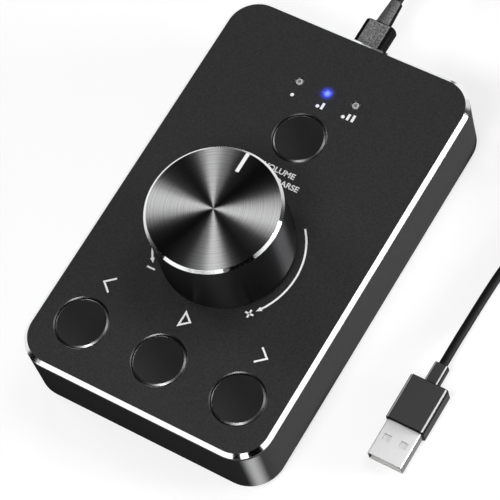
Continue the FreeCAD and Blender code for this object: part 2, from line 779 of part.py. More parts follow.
def usb_c_tongue():
    """Contact tongue in the middle of the socket."""
    back = SOCKET_MOUTH_Y - SOCKET_LENGTH + SOCKET_BACK
    return box(
        0, back + TONGUE_LENGTH / 2, SOCKET_Z - TONGUE_THICKNESS / 2,
        TONGUE_WIDTH, TONGUE_LENGTH, TONGUE_THICKNESS,
    )


# Rotary encoder

ENCODER_PLATE_Z = DECK_UNDER_Z - ENCODER_PLATE
ROTOR_TOP_Z = ENCODER_PLATE_Z - CLICK_SPRING - ROTOR_END_GAP
ROTOR_DISC_Z = ROTOR_TOP_Z - ROTOR_DISC
ROTOR_HUB_Z = ROTOR_DISC_Z - ROTOR_HUB_LENGTH
ROTOR_FLOOR_Z = ROTOR_HUB_Z - ROTOR_END_GAP
SPINDLE_STEP_Z = ROTOR_TOP_Z + KNOB_TRAVEL + TRAVEL_SPARE
SPINDLE_END_Z = ROTOR_FLOOR_Z - PUSH_POCKET_DEPTH + KNOB_TRAVEL + TRAVEL_SPARE


def encoder_pin_places():
    """Three pins along the front edge and two along the back edge."""
    row = ENCODER_DEPTH / 2 + PIN_ROW_GAP
    front = [(column * PIN_ROW_PITCH, KNOB_Y - row) for column in (-1, 0, 1)]
    back = [(column * PIN_ROW_PITCH, KNOB_Y + row) for column in (-1, 1)]
    return front + back


def encoder_housing():
    """Plastic box of the encoder, hollow for the rotor and the end of the spindle."""
    housing = box(
        0, KNOB_Y, BOARD_TOP_Z, ENCODER_WIDTH, ENCODER_DEPTH, ENCODER_PLATE_Z - BOARD_TOP_Z
    )
    room = cylinder(
        0, KNOB_Y, ROTOR_FLOOR_Z, ROTOR_RADIUS + ROTOR_SIDE_GAP,
        ENCODER_PLATE_Z - ROTOR_FLOOR_Z + OVERRUN,
    )
    pocket = cylinder(
        0, KNOB_Y, ROTOR_FLOOR_Z - PUSH_POCKET_DEPTH, SPINDLE_RADIUS + TRAVEL_SPARE,
        PUSH_POCKET_DEPTH + OVERRUN,
    )
    return housing.cut([room, pocket])


def encoder_frame():
    """Metal top plate with side tabs and the round bushing that guides the shaft."""
    width = ENCODER_WIDTH + 2 * ENCODER_TAB_THICKNESS
    plate = box(0, KNOB_Y, ENCODER_PLATE_Z, width, ENCODER_DEPTH, ENCODER_PLATE)
    tabs = [
        box(
            side * (ENCODER_WIDTH + ENCODER_TAB_THICKNESS) / 2, KNOB_Y, BOARD_TOP_Z,
            ENCODER_TAB_THICKNESS, ENCODER_TAB_WIDTH, DECK_UNDER_Z - BOARD_TOP_Z,
        )
        for side in (-1, 1)
    ]
    bushing = turned([
        (0, ENCODER_PLATE_Z),
        (BUSHING_RADIUS, ENCODER_PLATE_Z),
        (BUSHING_RADIUS, BUSHING_TOP_Z - BUSHING_CHAMFER),
        (BUSHING_RADIUS - BUSHING_CHAMFER, BUSHING_TOP_Z),
        (0, BUSHING_TOP_Z),
    ], 0, KNOB_Y)
    bore = cylinder(
        0, KNOB_Y, ENCODER_PLATE_Z - OVERRUN, SHAFT_RADIUS + RUNNING_GAP,
        BUSHING_TOP_Z - ENCODER_PLATE_Z + 2 * OVERRUN,
    )
    return joined([plate, bushing] + tabs).cut(bore)


def encoder_pins():
    """Five solder pins with short arms into the housing's sides."""
    pins = []
    for x, y in encoder_pin_places():
        side = math.copysign(1, y - KNOB_Y)
        pin = box(
            x, y, BOARD_UNDER_Z - PIN_BELOW_BOARD, PIN_SIZE, PIN_SIZE,
            BOARD_THICKNESS + PIN_BELOW_BOARD + PIN_SIZE,
        )
        arm_length = PIN_ROW_GAP + PIN_SIZE / 2
        arm = box(x, y + side * (PIN_SIZE - arm_length) / 2, BOARD_TOP_Z, PIN_SIZE, arm_length, PIN_SIZE)
        pins.append(joined([pin, arm]))
    return several(pins)


def encoder_click_spring():
    """Thin ring spring that gives the knob its clicks."""
    ring = cylinder(0, KNOB_Y, ENCODER_PLATE_Z - CLICK_SPRING, ROTOR_RADIUS, CLICK_SPRING)
    return ring.cut(cylinder(0, KNOB_Y, ROTOR_TOP_Z, SHAFT_RADIUS + RUNNING_GAP, ENCODER_PLATE))


def two_flat_bar(radius, flat_offset, z, height):
    """Round bar on the knob's axis with two opposite flats."""
    bar = cylinder(0, KNOB_Y, z, radius, height)
    return bar.common(box(0, KNOB_Y, z, 2 * flat_offset, 2 * radius, height))


def encoder_rotor():
    """Turning disc that the spindle slides through, keyed by two flats."""
    disc = cylinder(0, KNOB_Y, ROTOR_DISC_Z, ROTOR_RADIUS, ROTOR_DISC)
    hub = cylinder(0, KNOB_Y, ROTOR_HUB_Z, ROTOR_HUB_RADIUS, ROTOR_HUB_LENGTH)
    keyway = two_flat_bar(
        SPINDLE_RADIUS + RUNNING_GAP, SPINDLE_FLAT_OFFSET + RUNNING_GAP,
        ROTOR_HUB_Z - OVERRUN, ROTOR_DISC + ROTOR_HUB_LENGTH + 2 * OVERRUN,
    )
    return joined([disc, hub]).cut(keyway)


def encoder_shaft():
    """Shaft with a long flat for the knob above and the keyed spindle below."""
    shaft = turned([
        (0, SPINDLE_STEP_Z),
        (SHAFT_RADIUS, SPINDLE_STEP_Z),
        (SHAFT_RADIUS, SHAFT_TOP_Z - SHAFT_CHAMFER),
        (SHAFT_RADIUS - SHAFT_CHAMFER, SHAFT_TOP_Z),
        (0, SHAFT_TOP_Z),
    ], 0, KNOB_Y)
    flat_z = SHAFT_TOP_Z - SHAFT_FLAT_LENGTH
    flat = box(
        0, KNOB_Y + SHAFT_FLAT_OFFSET + SHAFT_RADIUS / 2, flat_z,
        2 * SHAFT_RADIUS, SHAFT_RADIUS, SHAFT_FLAT_LENGTH + OVERRUN,
    )
    spindle = two_flat_bar(
        SPINDLE_RADIUS, SPINDLE_FLAT_OFFSET, SPINDLE_END_Z, SPINDLE_STEP_Z - SPINDLE_END_Z
    )
    return joined([shaft.cut(flat), spindle])


def encoder_washer():
    """Washer between the plate and the nut."""
    washer = cylinder(0, KNOB_Y, PLATE_TOP_Z, WASHER_RADIUS, WASHER_THICKNESS)
    hole = BUSHING_RADIUS + BUSHING_HOLE_GAP
    return washer.cut(cylinder(0, KNOB_Y, PLATE_TOP_Z - OVERRUN, hole, WASHER_THICKNESS + 2 * OVERRUN))


def encoder_nut():
    """Six-sided nut that clamps the encoder to the deck and plate."""
    z = PLATE_TOP_Z + WASHER_THICKNESS
    corner = NUT_ACROSS_FLATS / 2 / math.cos(math.pi / NUT_SIDES)
    corners = [
        Vector(corner * math.cos(a), KNOB_Y + corner * math.sin(a), z)
        for a in (2 * math.pi * side / NUT_SIDES for side in range(NUT_SIDES + 1))
    ]
    nut = Part.Face(Part.makePolygon(corners)).extrude(Vector(0, 0, NUT_THICKNESS))
    bore = cylinder(0, KNOB_Y, z - OVERRUN, BUSHING_RADIUS + NUT_FIT, NUT_THICKNESS + 2 * OVERRUN)
    return nut.cut(bore)


# Knob

INDICATOR_OUTER = KNOB_RADIUS - KNOB_TOP_CHAMFER - INDICATOR_END_GAP


def indicator_bar(overrun):
    """The pointer line's bar, which also cuts its groove when it stands higher."""
    return box(
        0, KNOB_Y + INDICATOR_OUTER - INDICATOR_LENGTH / 2, KNOB_TOP_Z - INDICATOR_DEPTH,
        INDICATOR_WIDTH, INDICATOR_LENGTH, INDICATOR_DEPTH + overrun,
    )


def knob_shell():
    """Turned metal cup with a bright bevel round its flat top."""
    inner = KNOB_RADIUS - KNOB_WALL
    shell = turned([
        (0, KNOB_TOP_Z),
        (KNOB_RADIUS - KNOB_TOP_CHAMFER, KNOB_TOP_Z),
        (KNOB_RADIUS, KNOB_TOP_Z - KNOB_TOP_CHAMFER),
        (KNOB_RADIUS, KNOB_FOOT_Z + KNOB_FOOT_CHAMFER),
        (KNOB_RADIUS - KNOB_FOOT_CHAMFER, KNOB_FOOT_Z),
        (inner, KNOB_FOOT_Z),
        (inner, KNOB_ROOF_Z),
        (0, KNOB_ROOF_Z),
    ], 0, KNOB_Y)
    return shell.cut(indicator_bar(OVERRUN))


def knob_indicator():
    """White pointer line filled into the knob's top."""
    return indicator_bar(0)


def knob_core():
    """Moulded core: outer ring, web, ribs and the hub that fits the shaft's flat."""
    outer = KNOB_RADIUS - KNOB_WALL - CORE_GAP
    ring_foot = KNOB_FOOT_Z + CORE_RECESS
    hub_foot = BUSHING_TOP_Z + KNOB_TRAVEL + HUB_CLEARANCE
    top = KNOB_ROOF_Z
    web_z = top - CORE_WEB
    core = turned([
        (0, top),
        (outer, top),
        (outer, ring_foot),
        (outer - CORE_RING, ring_foot),
        (outer - CORE_RING, web_z),
        (CORE_HUB_RADIUS, web_z),
        (CORE_HUB_RADIUS, hub_foot),
        (0, hub_foot),
    ], 0, KNOB_Y)
    rib_z = hub_foot + CORE_RIB_LIFT
    inner = CORE_HUB_RADIUS - CORE_RIB
    ribs = []
    for number in range(CORE_RIB_COUNT):
        reach = outer - CORE_RING / 2 - inner
        rib = box(inner + reach / 2, 0, rib_z, reach, CORE_RIB, web_z + CORE_WEB / 2 - rib_z)
        rib.rotate(Vector(0, 0, 0), Vector(0, 0, 1), 360 * number / CORE_RIB_COUNT)
        rib.translate(Vector(0, KNOB_Y, 0))
        ribs.append(rib)
    bore_radius = SHAFT_RADIUS + RUNNING_GAP
    flat_z = SHAFT_TOP_Z - SHAFT_FLAT_LENGTH + RUNNING_GAP
    bore_top = SHAFT_TOP_Z + TRAVEL_SPARE
    bore = cylinder(0, KNOB_Y, hub_foot - OVERRUN, bore_radius, bore_top - hub_foot + OVERRUN)
    key = box(
        0, KNOB_Y + SHAFT_FLAT_OFFSET + RUNNING_GAP + bore_radius / 2, flat_z,
        2 * bore_radius, bore_radius, bore_top - flat_z,
    )
    return joined([core] + ribs).cut(bore.cut(key))


# Keys

KEY_RADIUS = KEY_HOLE_RADIUS - KEY_GAP
PLUNGER_TOP_Z = BOARD_TOP_Z + SWITCH_HEIGHT + KEY_TRAVEL + TRAVEL_SPARE


def key_cap(x, y):
    """Round key with a dished top and bevelled rim, a flange under the deck and a push post."""
    rim = KEY_RADIUS - KEY_BEVEL
    dish_radius = (rim ** 2 + KEY_DISH ** 2) / (2 * KEY_DISH)
    dish_centre = PLATE_TOP_Z - KEY_DISH + dish_radius
    half = rim / 2
    dish_middle = (half, dish_centre - math.sqrt(dish_radius ** 2 - half ** 2))
    flange_top = DECK_UNDER_Z - KEY_FLANGE_GAP
    flange_foot = flange_top - KEY_FLANGE_THICKNESS
    roof = PLATE_TOP_Z - KEY_DISH - KEY_TOP_THICKNESS
    return turned([
        (0, PLATE_TOP_Z - KEY_DISH),
        (dish_middle, (rim, PLATE_TOP_Z)),
        (KEY_RADIUS, PLATE_TOP_Z - KEY_BEVEL),
        (KEY_RADIUS, flange_top),
        (KEY_HOLE_RADIUS + KEY_FLANGE_MARGIN, flange_top),
        (KEY_HOLE_RADIUS + KEY_FLANGE_MARGIN, flange_foot),
        (KEY_RADIUS - KEY_SKIRT, flange_foot),
        (KEY_RADIUS - KEY_SKIRT, roof),
        (KEY_POST_RADIUS, roof),
        (KEY_POST_RADIUS, PLUNGER_TOP_Z),
        (0, PLUNGER_TOP_Z),
    ], x, y)


def key_plunger(x, y):
    """Moving pin of the push switch under one key."""
    foot = BOARD_TOP_Z + SWITCH_HEIGHT - PLUNGER_SEATED
    return cylinder(x, y, foot, PLUNGER_RADIUS, PLUNGER_TOP_Z - foot)


# Lead and its plugs

def usb_c_plug_shell():
    """Thin metal sleeve that goes into the socket."""
    sleeve = flat_oval(C_SHELL_WIDTH, C_SHELL_THICKNESS, C_SHELL_LENGTH)
    hollow = flat_oval(
        C_SHELL_WIDTH - 2 * C_SHELL_WALL, C_SHELL_THICKNESS - 2 * C_SHELL_WALL, C_SHELL_LENGTH
    )
    hollow.translate(Vector(0, -C_SHELL_WALL, 0))
    sleeve = sleeve.cut(hollow)
    sleeve.translate(Vector(0, C_BODY_FRONT_Y - C_SHELL_LENGTH, SOCKET_Z))
    return sleeve


def usb_c_plug_body():
    """Moulded grip of the small plug."""
    body = lying_prism(C_BODY_WIDTH, C_BODY_THICKNESS, C_BODY_CORNER, C_BODY_LENGTH)
    body = body.makeFillet(C_BODY_EDGE, end_edges(body, C_BODY_LENGTH))
    body = body.makeFillet(C_BODY_EDGE / 2, end_edges(body, 0))
    body.translate(Vector(0, C_BODY_FRONT_Y, SOCKET_Z))
    return body


def usb_c_relief():
    """Tapered strain relief behind the small plug."""
    cone = Part.makeCone(
        C_RELIEF_ROOT_RADIUS, C_RELIEF_TIP_RADIUS, C_RELIEF_LENGTH,
        Vector(0, C_BODY_REAR_Y, SOCKET_Z), Vector(0, 1, 0),
    )
    return cone


def placed_a(shape, y):
    """Moves a piece of the large plug from y = 0 to its place."""
    shape.translate(Vector(A_PLUG_X, y, A_PLUG_Z))
    return shape


def usb_a_shell():
    """Metal sleeve of the large plug, with two windows in each broad face."""
    sleeve = lying_prism(A_SHELL_WIDTH, A_SHELL_THICKNESS, A_SHELL_CORNER, A_SHELL_LENGTH)
    hollow = lying_prism(
        A_SHELL_WIDTH - 2 * A_SHELL_WALL, A_SHELL_THICKNESS - 2 * A_SHELL_WALL,
        A_SHELL_CORNER - A_SHELL_WALL, A_SHELL_LENGTH + 2 * OVERRUN,
    )
    hollow.translate(Vector(0, -OVERRUN, 0))
    windows = [
        box(
            side * A_WINDOW_SPACING / 2, A_WINDOW_FROM_TIP, -A_SHELL_THICKNESS,
            A_WINDOW_WIDTH, A_WINDOW_LENGTH, 2 * A_SHELL_THICKNESS,
        )
        for side in (-1, 1)
    ]
    return placed_a(sleeve.cut([hollow] + windows), A_BODY_FRONT_Y - A_SHELL_LENGTH)


def usb_a_tongue():
    """Plastic tongue that fills the upper half of the large plug's sleeve."""
    width = A_SHELL_WIDTH - 2 * (A_SHELL_WALL + A_TONGUE_GAP)
    length = A_SHELL_LENGTH - A_TONGUE_SUNK
    high = A_SHELL_THICKNESS / 2 - A_SHELL_WALL - A_TONGUE_GAP
    tongue = box(
        0, A_TONGUE_SUNK + length / 2, high - A_TONGUE_THICKNESS, width, length, A_TONGUE_THICKNESS
    )
    back_length = A_SHELL_LENGTH - A_TONGUE_SUNK - A_CONTACT_LENGTH - 2 * A_TONGUE_SUNK
    back = box(
        0, A_SHELL_LENGTH - back_length / 2, -high,
        width, back_length, 2 * high,
    )
    return placed_a(joined([tongue, back]), A_BODY_FRONT_Y - A_SHELL_LENGTH)


def usb_a_contacts():
    """Four contact strips under the tongue."""
    tongue_top = A_SHELL_THICKNESS / 2 - A_SHELL_WALL - A_TONGUE_GAP
    z = tongue_top - A_TONGUE_THICKNESS - A_CONTACT_THICKNESS
    middle = (A_CONTACT_COUNT - 1) / 2
    strips = [
        box(
            (number - middle) * A_CONTACT_SPACING, 2 * A_TONGUE_SUNK + A_CONTACT_LENGTH / 2, z,
            A_CONTACT_WIDTH, A_CONTACT_LENGTH, A_CONTACT_THICKNESS,
        )
        for number in range(A_CONTACT_COUNT)
    ]
    return placed_a(several(strips), A_BODY_FRONT_Y - A_SHELL_LENGTH)


def usb_a_plug_body():
    """Moulded grip of the large plug."""
    body = lying_prism(A_BODY_WIDTH, A_BODY_THICKNESS, A_BODY_CORNER, A_BODY_LENGTH)
    body = body.makeFillet(A_BODY_EDGE, end_edges(body, A_BODY_LENGTH) + end_edges(body, 0))
    return placed_a(body, A_BODY_FRONT_Y)


def usb_a_relief():
    """Short squared neck behind the large plug's grip."""
    neck = lying_prism(A_RELIEF_WIDTH, A_RELIEF_THICKNESS, A_RELIEF_CORNER, A_RELIEF_LENGTH)
    return placed_a(neck, A_BODY_REAR_Y)


def arc_between(start, corner, end):
    """Arc from start to end whose end tangents meet at corner; both sides are equally long."""
    towards = (corner - start).normalize()
    onwards = (end - corner).normalize()
    weight = math.cos(towards.getAngle(onwards) / 2)
    middle = (start + end + corner * (2 * weight)) / (2 + 2 * weight)
    return Part.Arc(start, middle, end).toShape()


def tube_along(edges, start, direction):
    """Round tube of the lead's section along joined edges."""
    circle = Part.Circle(start, direction, CORD_RADIUS).toShape()
    sweep = Part.BRepOffsetAPI.MakePipeShell(Part.Wire(edges))
    sweep.add(Part.Wire([circle]))
    sweep.build()
    sweep.makeSolid()
    return sweep.shape()


def report_tube(name, tube, edges, radii):
    """Prints a stretch's length, tightest bend and how far its volume is from a plain rod's."""
    length = sum(edge.Length for edge in edges)
    rod = math.pi * CORD_RADIUS ** 2 * length
    print(name, "length", round(length, 1), "bend radii", [round(r, 1) for r in radii],
          "volume share", round(tube.Volume / rod, 4))


def free_stretch(name, points):
    """Tube of straight runs joined by tangent arcs as large as the runs allow."""
    points = [Vector(*point) for point in points]
    edges = []
    radii = []
    last = points[0]
    for before, point, after in zip(points, points[1:], points[2:]):
        cut = CORD_BEND_SHARE * min((point - before).Length, (after - point).Length)
        start = point + (before - point).normalize() * cut
        end = point + (after - point).normalize() * cut
        radii.append(cut / math.tan((point - before).getAngle(after - point) / 2))
        edges.append(Part.LineSegment(last, start).toShape())
        edges.append(arc_between(start, point, end))
        last = end
    edges.append(Part.LineSegment(last, points[-1]).toShape())
    tube = tube_along(edges, points[0], points[1] - points[0])
    report_tube(name, tube, edges, radii)
    return tube


COIL_PITCH = 2 * CORD_RADIUS + COIL_TURN_GAP


def coil_state(turn):
    """Centre-line point and direction of the coil after some turns, wound clockwise from above."""
    half = COIL_TURNS / 2
    inward = turn < half
    radius = COIL_OUTER_RADIUS - COIL_PITCH * (turn if inward else COIL_TURNS - turn)
    climb = (turn - half) / COIL_CLIMB_TURNS + 0.5
    rise = COIL_PITCH * min(1.0, max(0.0, climb))
    angle = 2 * math.pi * (COIL_START_TURN - turn)
    point = Vector(
        COIL_X + radius * math.cos(angle), COIL_Y + radius * math.sin(angle), CORD_RADIUS + rise
    )
    return point, Vector(math.sin(angle), -math.cos(angle), 0)


def blended_pair(start, start_direction, end, end_direction):
    """Two arcs that join two points and meet their directions and each other smoothly."""
    chord = end - start
    both = start_direction + end_direction
    apart = 1 - start_direction.dot(end_direction)
    root = math.sqrt(chord.dot(both) ** 2 + 2 * apart * chord.dot(chord))
    reach = (root - chord.dot(both)) / (2 * apart)
    first = start + start_direction * reach
    second = end - end_direction * reach
    middle = (first + second) / 2
    return [arc_between(start, first, middle), arc_between(middle, second, end)]


def coil_gap(points):
    """Least gap between turns that aren't neighbours along the lead."""
    step = (points[1] - points[0]).Length
    apart = int(4 * CORD_RADIUS / step) + 1
    least = min(
        (points[j] - points[i]).Length
        for i in range(len(points))
        for j in range(i + apart, len(points))
    )
    return least - 2 * CORD_RADIUS


def coil_ends():
    """Where the free stretches meet the coil: one tube diameter out from its ends."""
    start, start_direction = coil_state(0)
    end, end_direction = coil_state(COIL_TURNS)
    straight = 2 * CORD_RADIUS
    return start - start_direction * straight, end + end_direction * straight


def usb_cable_coil():
    """The lead's spare length: one unbroken tube that spirals in, climbs and spirals out."""
    count = math.ceil(COIL_TURNS * COIL_PIECES_PER_TURN)
    states = [coil_state(COIL_TURNS * number / count) for number in range(count + 1)]
    outer_start, outer_end = coil_ends()
    edges = [Part.LineSegment(outer_start, states[0][0]).toShape()]
    for (start, along), (end, onwards) in zip(states, states[1:]):
        edges += blended_pair(start, along, end, onwards)
    edges.append(Part.LineSegment(states[-1][0], outer_end).toShape())
    tube = tube_along(edges, outer_start, states[0][1])
    bends = [edge.Curve.Radius for edge in edges[1:-1]]
    report_tube("usb_cable_coil", tube, edges, [min(bends), max(bends)])
    samples = [edge.valueAt(edge.FirstParameter + (edge.LastParameter - edge.FirstParameter) * share)
               for edge in edges[1:-1] for share in (0, 0.25, 0.5, 0.75)]
    print("usb_cable_coil least gap between turns", round(coil_gap(samples), 3))
    return tube


def usb_cable_lead():
    """Stretch from the small plug's relief down to the table and round to the coil."""
    start = (0, C_RELIEF_END_Y, SOCKET_Z)
    exit_bend = (0, C_RELIEF_END_Y + CORD_EXIT_RUN, SOCKET_Z)
    coil_start = coil_ends()[0]
    return free_stretch("usb_cable_lead", [start, exit_bend] + LEAD_BENDS + [coil_start])


def usb_cable_tail():
    """Stretch from the coil to the large plug's neck."""
    coil_end = coil_ends()[1]
    coil_bend = coil_end + coil_state(COIL_TURNS)[1] * CORD_EXIT_RUN
    plug_bend = (A_PLUG_X, A_RELIEF_END_Y + CORD_PLUG_RUN, A_PLUG_Z)
    end = (A_PLUG_X, A_RELIEF_END_Y, A_PLUG_Z)
    return free_stretch("usb_cable_tail", [coil_end, coil_bend] + TAIL_BENDS + [plug_bend, end])


def all_pieces():
    """Every piece by its name."""
    pieces = {
        "face_plate": face_plate(),
        "adhesive_sheet": adhesive_sheet(),
        "case_body": case_body(),
        "bottom_cover": bottom_cover(),
        "cover_screws": cover_screws(),
        "rubber_feet": rubber_feet(),
        "main_board": main_board(),
        "board_screws": board_screws(),
        "tact_switches": tact_switches(),
        "led_chips": led_chips(),
        "controller_chip": controller_chip(),
        "crystal": crystal(),
        "board_parts": board_parts(),
        "usb_c_socket": usb_c_socket(),
        "usb_c_tongue": usb_c_tongue(),
        "encoder_housing": encoder_housing(),
        "encoder_frame": encoder_frame(),
        "encoder_pins": encoder_pins(),
        "encoder_click_spring": encoder_click_spring(),
        "encoder_rotor": encoder_rotor(),
        "encoder_shaft": encoder_shaft(),
        "encoder_washer": encoder_washer(),
        "encoder_nut": encoder_nut(),
        "knob_shell": knob_shell(),
        "knob_core": knob_core(),
        "knob_indicator": knob_indicator(),
        "usb_c_plug_shell": usb_c_plug_shell(),
        "usb_c_plug_body": usb_c_plug_body(),
        "usb_c_relief": usb_c_relief(),
        "usb_cable_lead": usb_cable_lead(),
        "usb_cable_coil": usb_cable_coil(),
        "usb_cable_tail": usb_cable_tail(),
        "usb_a_relief": usb_a_relief(),
        "usb_a_plug_body": usb_a_plug_body(),
        "usb_a_shell": usb_a_shell(),
        "usb_a_tongue": usb_a_tongue(),
        "usb_a_contacts": usb_a_contacts(),
    }
    for name, (x, y) in KEY_PLACES.items():
        pieces[name + "_key"] = key_cap(x, y)
        pieces[name + "_plunger"] = key_plunger(x, y)
    for name, (x, y) in LAMP_PLACES.items():
        pieces["light_pipe_" + name] = light_pipe(x, y)
    return pieces


os.makedirs("parts", exist_ok=True)
for piece_name, piece in all_pieces().items():
    bad = not piece.isValid() or any(solid.Volume <= 0 for solid in piece.Solids)
    state = "INVALID" if bad else ""
    print(piece_name, "solids", len(piece.Solids), "volume", round(piece.Volume, 1), state)
    piece.exportStep(os.path.join("parts", piece_name + ".step"))
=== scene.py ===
"""Looks of a USB volume control knob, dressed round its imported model.

The part is a flat desktop box with a push-and-turn knob, four round keys, three mode lamps and a
plug-in lead. Sizes are in metres, or in millimetres where a name ends in mm, in the frame of the
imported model: the table is z = 0, +X is the box's right and +Y its back, where the lead plugs in.
"""
import logging
import math
from abc import ABC, abstractmethod
from collections.abc import Iterable, Sequence
from dataclasses import dataclass, field
from enum import Enum

import bmesh
import bpy
from mathutils import Matrix, Vector


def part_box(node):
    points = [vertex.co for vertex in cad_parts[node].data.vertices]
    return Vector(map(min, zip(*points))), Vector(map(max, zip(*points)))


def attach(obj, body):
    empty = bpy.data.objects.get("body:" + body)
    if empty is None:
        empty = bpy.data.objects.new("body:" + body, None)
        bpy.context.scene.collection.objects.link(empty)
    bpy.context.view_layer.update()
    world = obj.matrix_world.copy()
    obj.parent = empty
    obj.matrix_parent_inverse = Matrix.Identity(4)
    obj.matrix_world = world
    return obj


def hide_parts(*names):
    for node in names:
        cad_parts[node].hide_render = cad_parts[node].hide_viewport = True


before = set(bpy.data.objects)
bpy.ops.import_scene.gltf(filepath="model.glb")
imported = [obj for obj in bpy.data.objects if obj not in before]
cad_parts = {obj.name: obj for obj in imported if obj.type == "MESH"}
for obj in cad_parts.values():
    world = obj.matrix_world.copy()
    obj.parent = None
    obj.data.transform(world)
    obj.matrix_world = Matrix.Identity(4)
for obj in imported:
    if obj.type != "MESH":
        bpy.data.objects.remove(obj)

LOG = logging.getLogger("volume_knob")
MM = 0.001

Rgb = tuple[float, float, float]
Place = tuple[float, float, float]
Flat = tuple[float, float]
Socket = bpy.types.NodeSocket
Value = float | Sequence[float] | Socket
Inputs = dict[str | int, Value]

CRISP: Flat = (0.3, 0.7)
BORDER_SLOPE: Flat = (0.55, 0.85)
BRIGHT_CUT: Rgb = (0.86, 0.87, 0.88)
FINE_DETAIL = 3.0


def mm(*lengths: float) -> tuple[float, ...]:
    """Lengths in metres, given in millimetres."""
    return tuple(length * MM for length in lengths)


def show(name: str, data: bpy.types.ID) -> bpy.types.Object:
    """Puts data into the scene as a new object.

    Args:
        name: the object's name.
        data: its mesh, curve, text, light or camera.

    Returns:
        The new object.
    """
    made = bpy.data.objects.new(name, data)
    bpy.context.scene.collection.objects.link(made)
    return made


class NodeSheet:
    """The node tree of a material or world, with a short call for each kind of node in common use."""

    def __init__(self, owner: bpy.types.Material | bpy.types.World, shader: str = "Principled BSDF") -> None:
        """Starts a tree with one shader.

        Args:
            owner: the new material or world.
            shader: the shader node that it starts with.
        """
        owner.use_nodes = True
        self.tree = owner.node_tree
        self.shader = self.tree.nodes[shader]

    def node(self, kind: str, inputs: Inputs | None = None, **settings: object) -> bpy.types.Node:
        """Adds one node.

        Args:
            kind: the node's type name.
            inputs: what its inputs are fed, by name or number.
            settings: its properties by name.

        Returns:
            The new node.
        """
        made = self.tree.nodes.new(kind)
        for key, value in settings.items():
            setattr(made, key, value)
        for key, value in (inputs or {}).items():
            self.feed(made.inputs[key], value)
        return made

    def feed(self, socket: Socket, value: Value) -> None:
        """Links a socket to another one, or sets it to a plain value.

        Args:
            socket: the input socket.
            value: an output socket, a number or a vector.
        """
        if isinstance(value, bpy.types.NodeSocket):
            self.tree.links.new(value, socket)
        else:
            socket.default_value = value

    def dress(self, values: dict[str, Value]) -> None:
        """Sets inputs of the shader.

        Args:
            values: the inputs' values by socket name.
        """
        for name, value in values.items():
            if name.endswith("Color") and isinstance(value, tuple):
                value = (*value, 1.0)
            self.feed(self.shader.inputs[name], value)

    def maths(self, operation: str, first: Value, second: Value = 0.0) -> Socket:
        """Works out one or two numbers or sockets in a Math node."""
        return self.node("ShaderNodeMath", {0: first, 1: second}, operation=operation).outputs[0]

    def vectors(self, operation: str, first: Value, second: Value = (0.0, 0.0, 0.0)) -> Socket:
        """Works out one or two vectors or sockets in a Vector Math node."""
        made = self.node("ShaderNodeVectorMath", {0: first, 1: second}, operation=operation)
        return made.outputs["Value" if operation == "LENGTH" else "Vector"]

    def scaled(self, vector: Socket, factor: Value) -> Socket:
        """Multiplies a vector by a number or a number's socket."""
        return self.node("ShaderNodeVectorMath", {0: vector, "Scale": factor}, operation="SCALE").outputs[0]

    def axes(self, vector: Socket) -> tuple[Socket, ...]:
        """Splits a vector into its X, Y and Z sockets."""
        return tuple(self.node("ShaderNodeSeparateXYZ", {0: vector}).outputs)

    def normal(self) -> Socket:
        """The surface normal, smooth over rounded faces."""
        return self.node("ShaderNodeNewGeometry").outputs["Normal"]

    def place_mm(self) -> Socket:
        """The surface point in the frame of the part, in millimetres."""
        return self.scaled(self.node("ShaderNodeTexCoord").outputs["Object"], 1 / MM)

    def radius_mm(self, axis_mm: Flat) -> Socket:
        """Distance, in millimetres, of the surface point from an upright axis at an x and y."""
        offset = self.vectors("SUBTRACT", self.place_mm(), (*axis_mm, 0.0))
        return self.vectors("LENGTH", self.vectors("MULTIPLY", offset, (1.0, 1.0, 0.0)))

    def noise(self, size_mm: float, detail: float = 2.0, stretch: Place = (1.0, 1.0, 1.0)) -> Socket:
        """Noise with grains of a given size.

        Args:
            size_mm: the size of the largest grains.
            detail: how many finer layers it has.
            stretch: how much closer together the grains are along each axis.

        Returns:
            The noise's socket, from 0 to 1.
        """
        place = self.vectors("MULTIPLY", self.place_mm(), stretch)
        inputs = {"Vector": place, "Scale": 1 / size_mm, "Detail": detail}
        return self.node("ShaderNodeTexNoise", inputs).outputs["Fac"]

    def rings(self, radius: Socket, pitch_mm: float, detail: float) -> Socket:
        """Noise, from 0 to 1, that varies with one distance only, as lathe marks of a mean pitch do."""
        inputs = {"W": radius, "Scale": 1 / pitch_mm, "Detail": detail}
        return self.node("ShaderNodeTexNoise", inputs, noise_dimensions="1D").outputs["Fac"]

    def spread(
        self, factor: Value, low: Value = 0.0, high: Value = 1.0, source: Flat = (0.0, 1.0),
        course: str = "LINEAR",
    ) -> Socket:
        """Maps a number from one range to another, kept inside it.

        Args:
            factor: the number's socket.
            low: the result, or its socket, at the range's start.
            high: the result, or its socket, at the range's end.
            source: the range it comes in.
            course: how it goes from the start to the end.

        Returns:
            The result's socket.
        """
        ends = {"From Min": source[0], "From Max": source[1], "To Min": low, "To Max": high}
        made = self.node("ShaderNodeMapRange", {"Value": factor, **ends}, interpolation_type=course)
        return made.outputs["Result"]

    def blend(self, factor: Value, first: Rgb | Socket, second: Rgb | Socket) -> Socket:
        """Mixes two colours.

        Args:
            factor: 0 for the first, 1 for the second.
            first: the first colour.
            second: the second colour.

        Returns:
            The mixed colour's socket.
        """
        made = self.node("ShaderNodeMix", {"Factor": factor}, data_type="RGBA")
        ends = (socket for socket in made.inputs if socket.type == "RGBA")
        for socket, colour in zip(ends, (first, second)):
            self.feed(socket, (*colour, 1.0) if isinstance(colour, tuple) else colour)
        return next(socket for socket in made.outputs if socket.type == "RGBA")

    def shaded(self, factor: Socket, colour: Rgb, shares: Flat) -> Socket:
        """Varies a colour between two shares of it, the first where the factor is 0."""
        shades = (tuple(min(1.0, part * share) for part in colour) for share in shares)
        return self.blend(factor, *shades)

